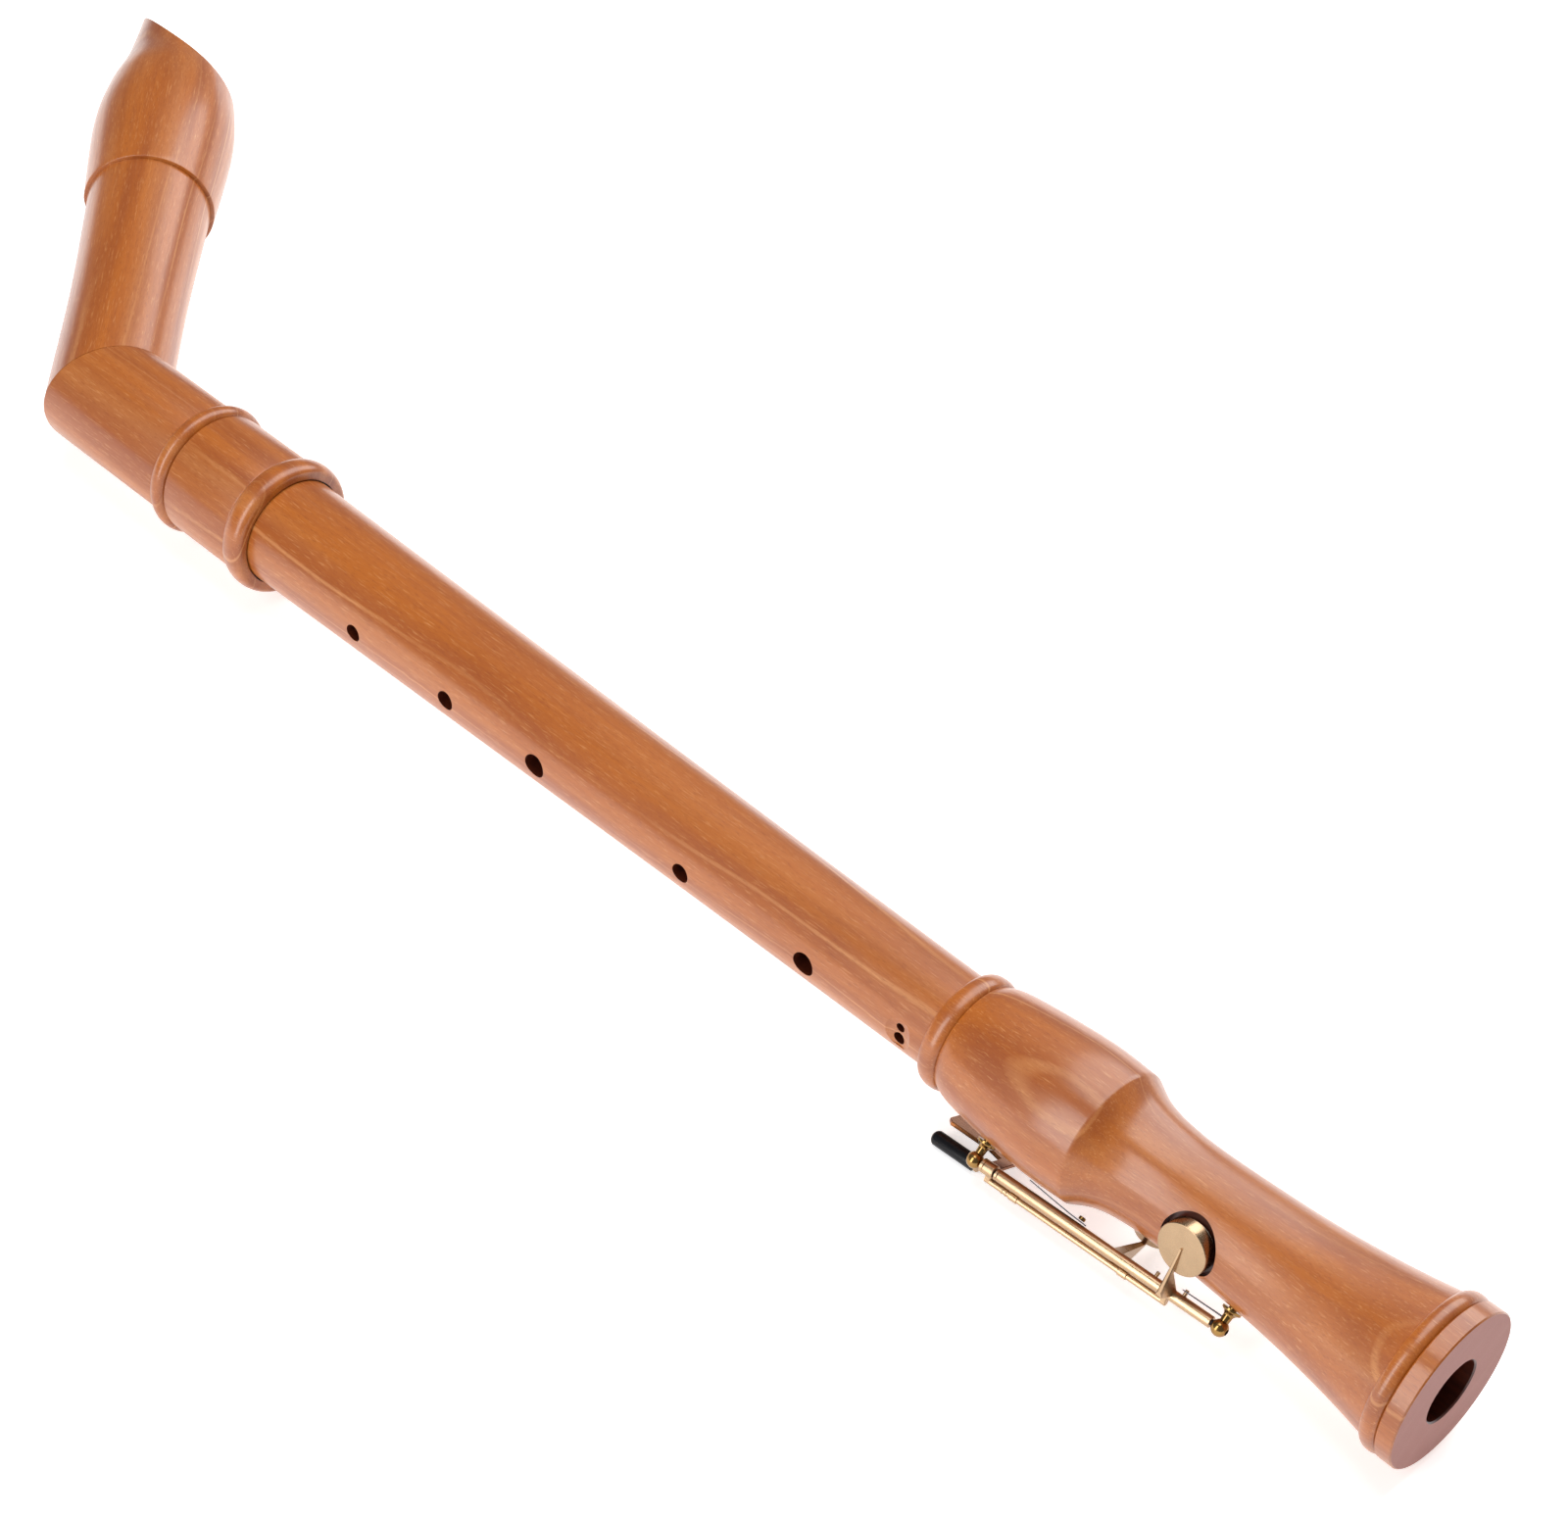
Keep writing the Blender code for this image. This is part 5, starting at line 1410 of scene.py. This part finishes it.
class RECORDER_OT_short_key(bpy.types.Operator):
    """Make the short key, which stands shut, with its bridge rod, plate and needle spring"""

    bl_idname = "recorder.short_key"
    bl_label = "Short key"

    def execute(self, context):
        edge = context.scene.recorder_keys.edge
        key = SHORT_KEY
        make_cup("c_sharp_key", C_SHARP_STATION, C_SHARP_ANGLE, key, "c_sharp_key")
        lever = ringed_tube("short_lever", LOWER_TUBE_START, LOWER_TUBE_END, TUBE_RADIUS, key)
        top_strap, low_strap = KNUCKLE_END + 1.2 * MM, LOWER_TUBE_START - 1.2 * MM
        bridge = (top_strap + BRIDGE_RADIUS, low_strap - BRIDGE_RADIUS)
        upper, lower = KNUCKLE_END - 5.5 * MM, LOWER_TUBE_START + 12 * MM
        place = (BRIDGE_REACH, BRIDGE_SIDE)
        parts = [
            fin("arm", C_SHARP_STATION + 1.0 * MM, C_SHARP_STATION, C_SHARP_ANGLE, 3.6 * MM, key),
            ringed_tube("knuckle", KNUCKLE_START, KNUCKLE_END, KNUCKLE_RADIUS, key, [1.0 * MM]),
            link("top_strap", top_strap, *place, 1.6 * MM, 1.6 * MM, key, edge),
            link("low_strap", low_strap, *place, 1.6 * MM, 1.6 * MM, key, edge),
            along("bridge", *bridge, *place, BRIDGE_RADIUS, key),
            along("upper_collar", upper, upper - COLLAR_LENGTH, *place, COLLAR_RADIUS, key, edge),
            along("lower_collar", lower, lower - COLLAR_LENGTH, *place, COLLAR_RADIUS, key, edge),
            peg("catch", CATCH_STATION, NEEDLE_REACH + STUD_RADIUS, STUD_RADIUS, key),
        ]
        for number, gap in enumerate((1.1 * MM, 2.3 * MM)):
            ends = (upper + gap, upper + gap - 0.5 * MM)
            parts.append(along(f"ring_{number}", *ends, *place, 0.95 * MM, key))
        combine(lever, parts, "UNION")
        tubes = [(LOWER_TUBE_START, LOWER_TUBE_END), (KNUCKLE_START, KNUCKLE_END)]
        combine(lever, [bearing(start, end, key) for start, end in tubes])
        clean(lever)
        install(lever, "c_sharp_key", "c_sharp_key_lever", ["satin_brass"])
        make_plate(key, edge)
        make_needle()
        return {"FINISHED"}


def make_plate(key, edge):
    """The touch plate, in a plane through the hinge line, tapering to the knuckle."""
    near, far = PLATE_REACH, PLATE_REACH + PLATE_WIDTH
    root = KNUCKLE_RADIUS + SEAT_GAP
    start = UPPER_POST + BALL_RADIUS
    end = start + ROLLER_LENGTH
    arm_start, arm_end = KNUCKLE_END + 0.4 * MM, KNUCKLE_START - 0.4 * MM
    corner = 1.5 * MM
    outline = [
        (root, arm_start),
        (near + 0.6 * PLATE_WIDTH, arm_start),
        (far, start),
        (far, end - corner),
        (far - corner, end),
        (near + corner, end),
        (near, end - corner),
        (near, start),
        (near - 1.5 * MM, arm_end),
        (root, arm_end),
    ]
    outline = [(reach, station - KNUCKLE_END) for reach, station in outline]
    up = -HINGE_AXIS
    side = outward(PLATE_SIDE)
    side = (side - up * side.dot(up)).normalized()
    place = key @ axes(hinge_at(KNUCKLE_END), side, up)
    plate = slab("touch_plate", outline, PLATE_THICKNESS, place, edge)
    # Its finish's dark colour is painted reflection of the wood.
    install(plate, "c_sharp_key", "c_sharp_touch_plate", ["touch_brass"])


def make_needle():
    """The needle spring, from the lower post's neck to the short key's catch; it is made straight,
    not bent by the catch.
    """
    inward = -outward(HINGE_ANGLE) * NEEDLE_REACH
    beside = outward(HINGE_ANGLE + math.pi / 2) * (STUD_RADIUS + NEEDLE_RADIUS + 2 * BEARING_GAP)
    start = hinge_at(LOWER_POST + POST_NECK_RADIUS + SEAT_GAP) + inward
    end = hinge_at(CATCH_STATION + 1 * MM) + inward + beside
    length = (end - start).length
    steps = 16
    line = [(0, length), (0.6 * NEEDLE_RADIUS, length - 0.3 * MM)]
    for step in reversed(range(steps)):
        line.append((NEEDLE_RADIUS * (1 - 0.3 * step / steps), length * step / steps))
    line += [(0, 0)]
    needle = lathe("needle_spring", line, facing(start, end - start), 16)
    bends = ("c_sharp_key", start, start + (end - start) * 0.9)
    steel = "blued_steel"
    install(needle, "foot", "c_sharp_needle_spring", [steel], bends=bends)


# ---------------------------------------------------------------- stage


VIEW_AZIMUTH = 42.51 * DEG
VIEW_ELEVATION = 44.28 * DEG
VIEW_ROLL = 3.93 * DEG
VIEW_FROM = Vector((0.2015, -0.4594, 0.6090))
VIEW_LENS = 79.92
VIEW_SHIFT = (0.0221, 0.0682)

FLOOR_HALF = 4.0
FLOOR_THICKNESS = 2 * MM
FLOOR_DROP = 0.05 * MM
# Each soft panel's place and size, by the property that holds its power
PANELS = {
    "back": ((0.0, 0.63, 1.14), (2.6, 0.8)),
    "front": ((-0.05, -1.0, 0.3), (1.7, 0.34)),
}


def add_camera():
    """Looks down on the recorder from in front of the bell."""
    level = Vector((math.cos(VIEW_AZIMUTH), math.sin(VIEW_AZIMUTH), 0))
    back = Vector((math.sin(VIEW_AZIMUTH), -math.cos(VIEW_AZIMUTH), 0)) * math.cos(VIEW_ELEVATION)
    back.z = math.sin(VIEW_ELEVATION)
    over = back.cross(level)
    right = level * math.cos(VIEW_ROLL) + over * math.sin(VIEW_ROLL)
    data = bpy.data.cameras.new("view")
    data.sensor_width = 36
    data.lens = VIEW_LENS
    data.shift_x, data.shift_y = VIEW_SHIFT
    data.clip_start = 0.01
    camera = bpy.data.objects.new("view", data)
    bpy.context.scene.collection.objects.link(camera)
    camera.matrix_world = axes(BELL + VIEW_FROM, right, back.cross(right))
    bpy.context.scene.camera = camera


def add_panel(name, spot, size, power):
    """A soft light panel turned to the middle of the floor."""
    data = bpy.data.lights.new(name, "AREA")
    data.shape = "RECTANGLE"
    data.size, data.size_y = size
    data.energy = power
    light = bpy.data.objects.new(name, data)
    bpy.context.scene.collection.objects.link(light)
    light.matrix_world = facing(spot, spot)


def add_floor(stage):
    """A pale floor that glows a little, just under the recorder."""
    nodes = Nodes("pale_floor")
    speck = nodes.noise(nodes.place(), 3, 2.0)
    share = nodes.span(speck, 0.3, 0.7, 0, 1)
    tone = nodes.mix(share, rgba(stage.floor), rgba(Vector(stage.floor) * 0.99))
    nodes.set(Base_Color=tone, Roughness=0.9, Emission_Color=tone, Emission_Strength=stage.glow)
    size = (2 * FLOOR_HALF, 2 * FLOOR_HALF, FLOOR_THICKNESS)
    under = Matrix.Translation((0, 0, -FLOOR_THICKNESS / 2 - FLOOR_DROP))
    floor = block("floor", size, under)
    floor.data.materials[0] = bpy.data.materials["pale_floor"]


class RECORDER_OT_stage(bpy.types.Operator):
    """Lay the pale floor, set the soft light and place the camera"""

    bl_idname = "recorder.stage"
    bl_label = "Floor, light and camera"

    def execute(self, context):
        stage = context.scene.recorder_stage
        add_floor(stage)
        world = bpy.data.worlds.new("room")
        world.use_nodes = True
        room = world.node_tree.nodes["Background"].inputs
        room["Color"].default_value = (1, 1, 1, 1)
        room["Strength"].default_value = stage.room
        context.scene.world = world
        for name, (spot, size) in PANELS.items():
            add_panel(f"{name}_panel", spot, size, getattr(stage, name))
        add_camera()
        context.scene.view_settings.view_transform = "Standard"
        return {"FINISHED"}


# ---------------------------------------------------------------- panel


PIECES = (
    "finishes",
    "foot",
    "middle",
    "corks",
    "socket",
    "beak",
    "block",
    "posts",
    "long_key",
    "short_key",
    "stage",
)


class RECORDER_PT_panel(bpy.types.Panel):
    """Lists the recorder's pieces and the values they are made from"""

    bl_label = "Tenor Recorder"
    bl_idname = "RECORDER_PT_panel"
    bl_space_type = "VIEW_3D"
    bl_region_type = "UI"
    bl_category = "Recorder"

    def draw(self, context):
        layout = self.layout
        scene = context.scene
        for group in (scene.recorder_wood, scene.recorder_keys, scene.recorder_stage):
            box = layout.box()
            for name in group.bl_rna.properties.keys():
                if name not in {"rna_type", "name"}:
                    box.prop(group, name)
        for piece in PIECES:
            layout.operator(f"recorder.{piece}")


CLASSES = (
    RecorderWood,
    RecorderKeys,
    RecorderStage,
    RECORDER_OT_finishes,
    RECORDER_OT_foot,
    RECORDER_OT_middle,
    RECORDER_OT_corks,
    RECORDER_OT_socket,
    RECORDER_OT_beak,
    RECORDER_OT_block,
    RECORDER_OT_posts,
    RECORDER_OT_long_key,
    RECORDER_OT_short_key,
    RECORDER_OT_stage,
    RECORDER_PT_panel,
)


def register():
    """Registers the classes and puts their properties on the scene."""
    for cls in CLASSES:
        bpy.utils.register_class(cls)
    bpy.types.Scene.recorder_wood = PointerProperty(type=RecorderWood)
    bpy.types.Scene.recorder_keys = PointerProperty(type=RecorderKeys)
    bpy.types.Scene.recorder_stage = PointerProperty(type=RecorderStage)


def unregister():
    """Takes everything out again that register put in."""
    del bpy.types.Scene.recorder_stage
    del bpy.types.Scene.recorder_keys
    del bpy.types.Scene.recorder_wood
    for cls in reversed(CLASSES):
        bpy.utils.unregister_class(cls)


def main():
    """Builds every piece and the stage."""
    register()
    for piece in PIECES:
        getattr(bpy.ops.recorder, piece)()


if __name__ == "__main__":
    main()
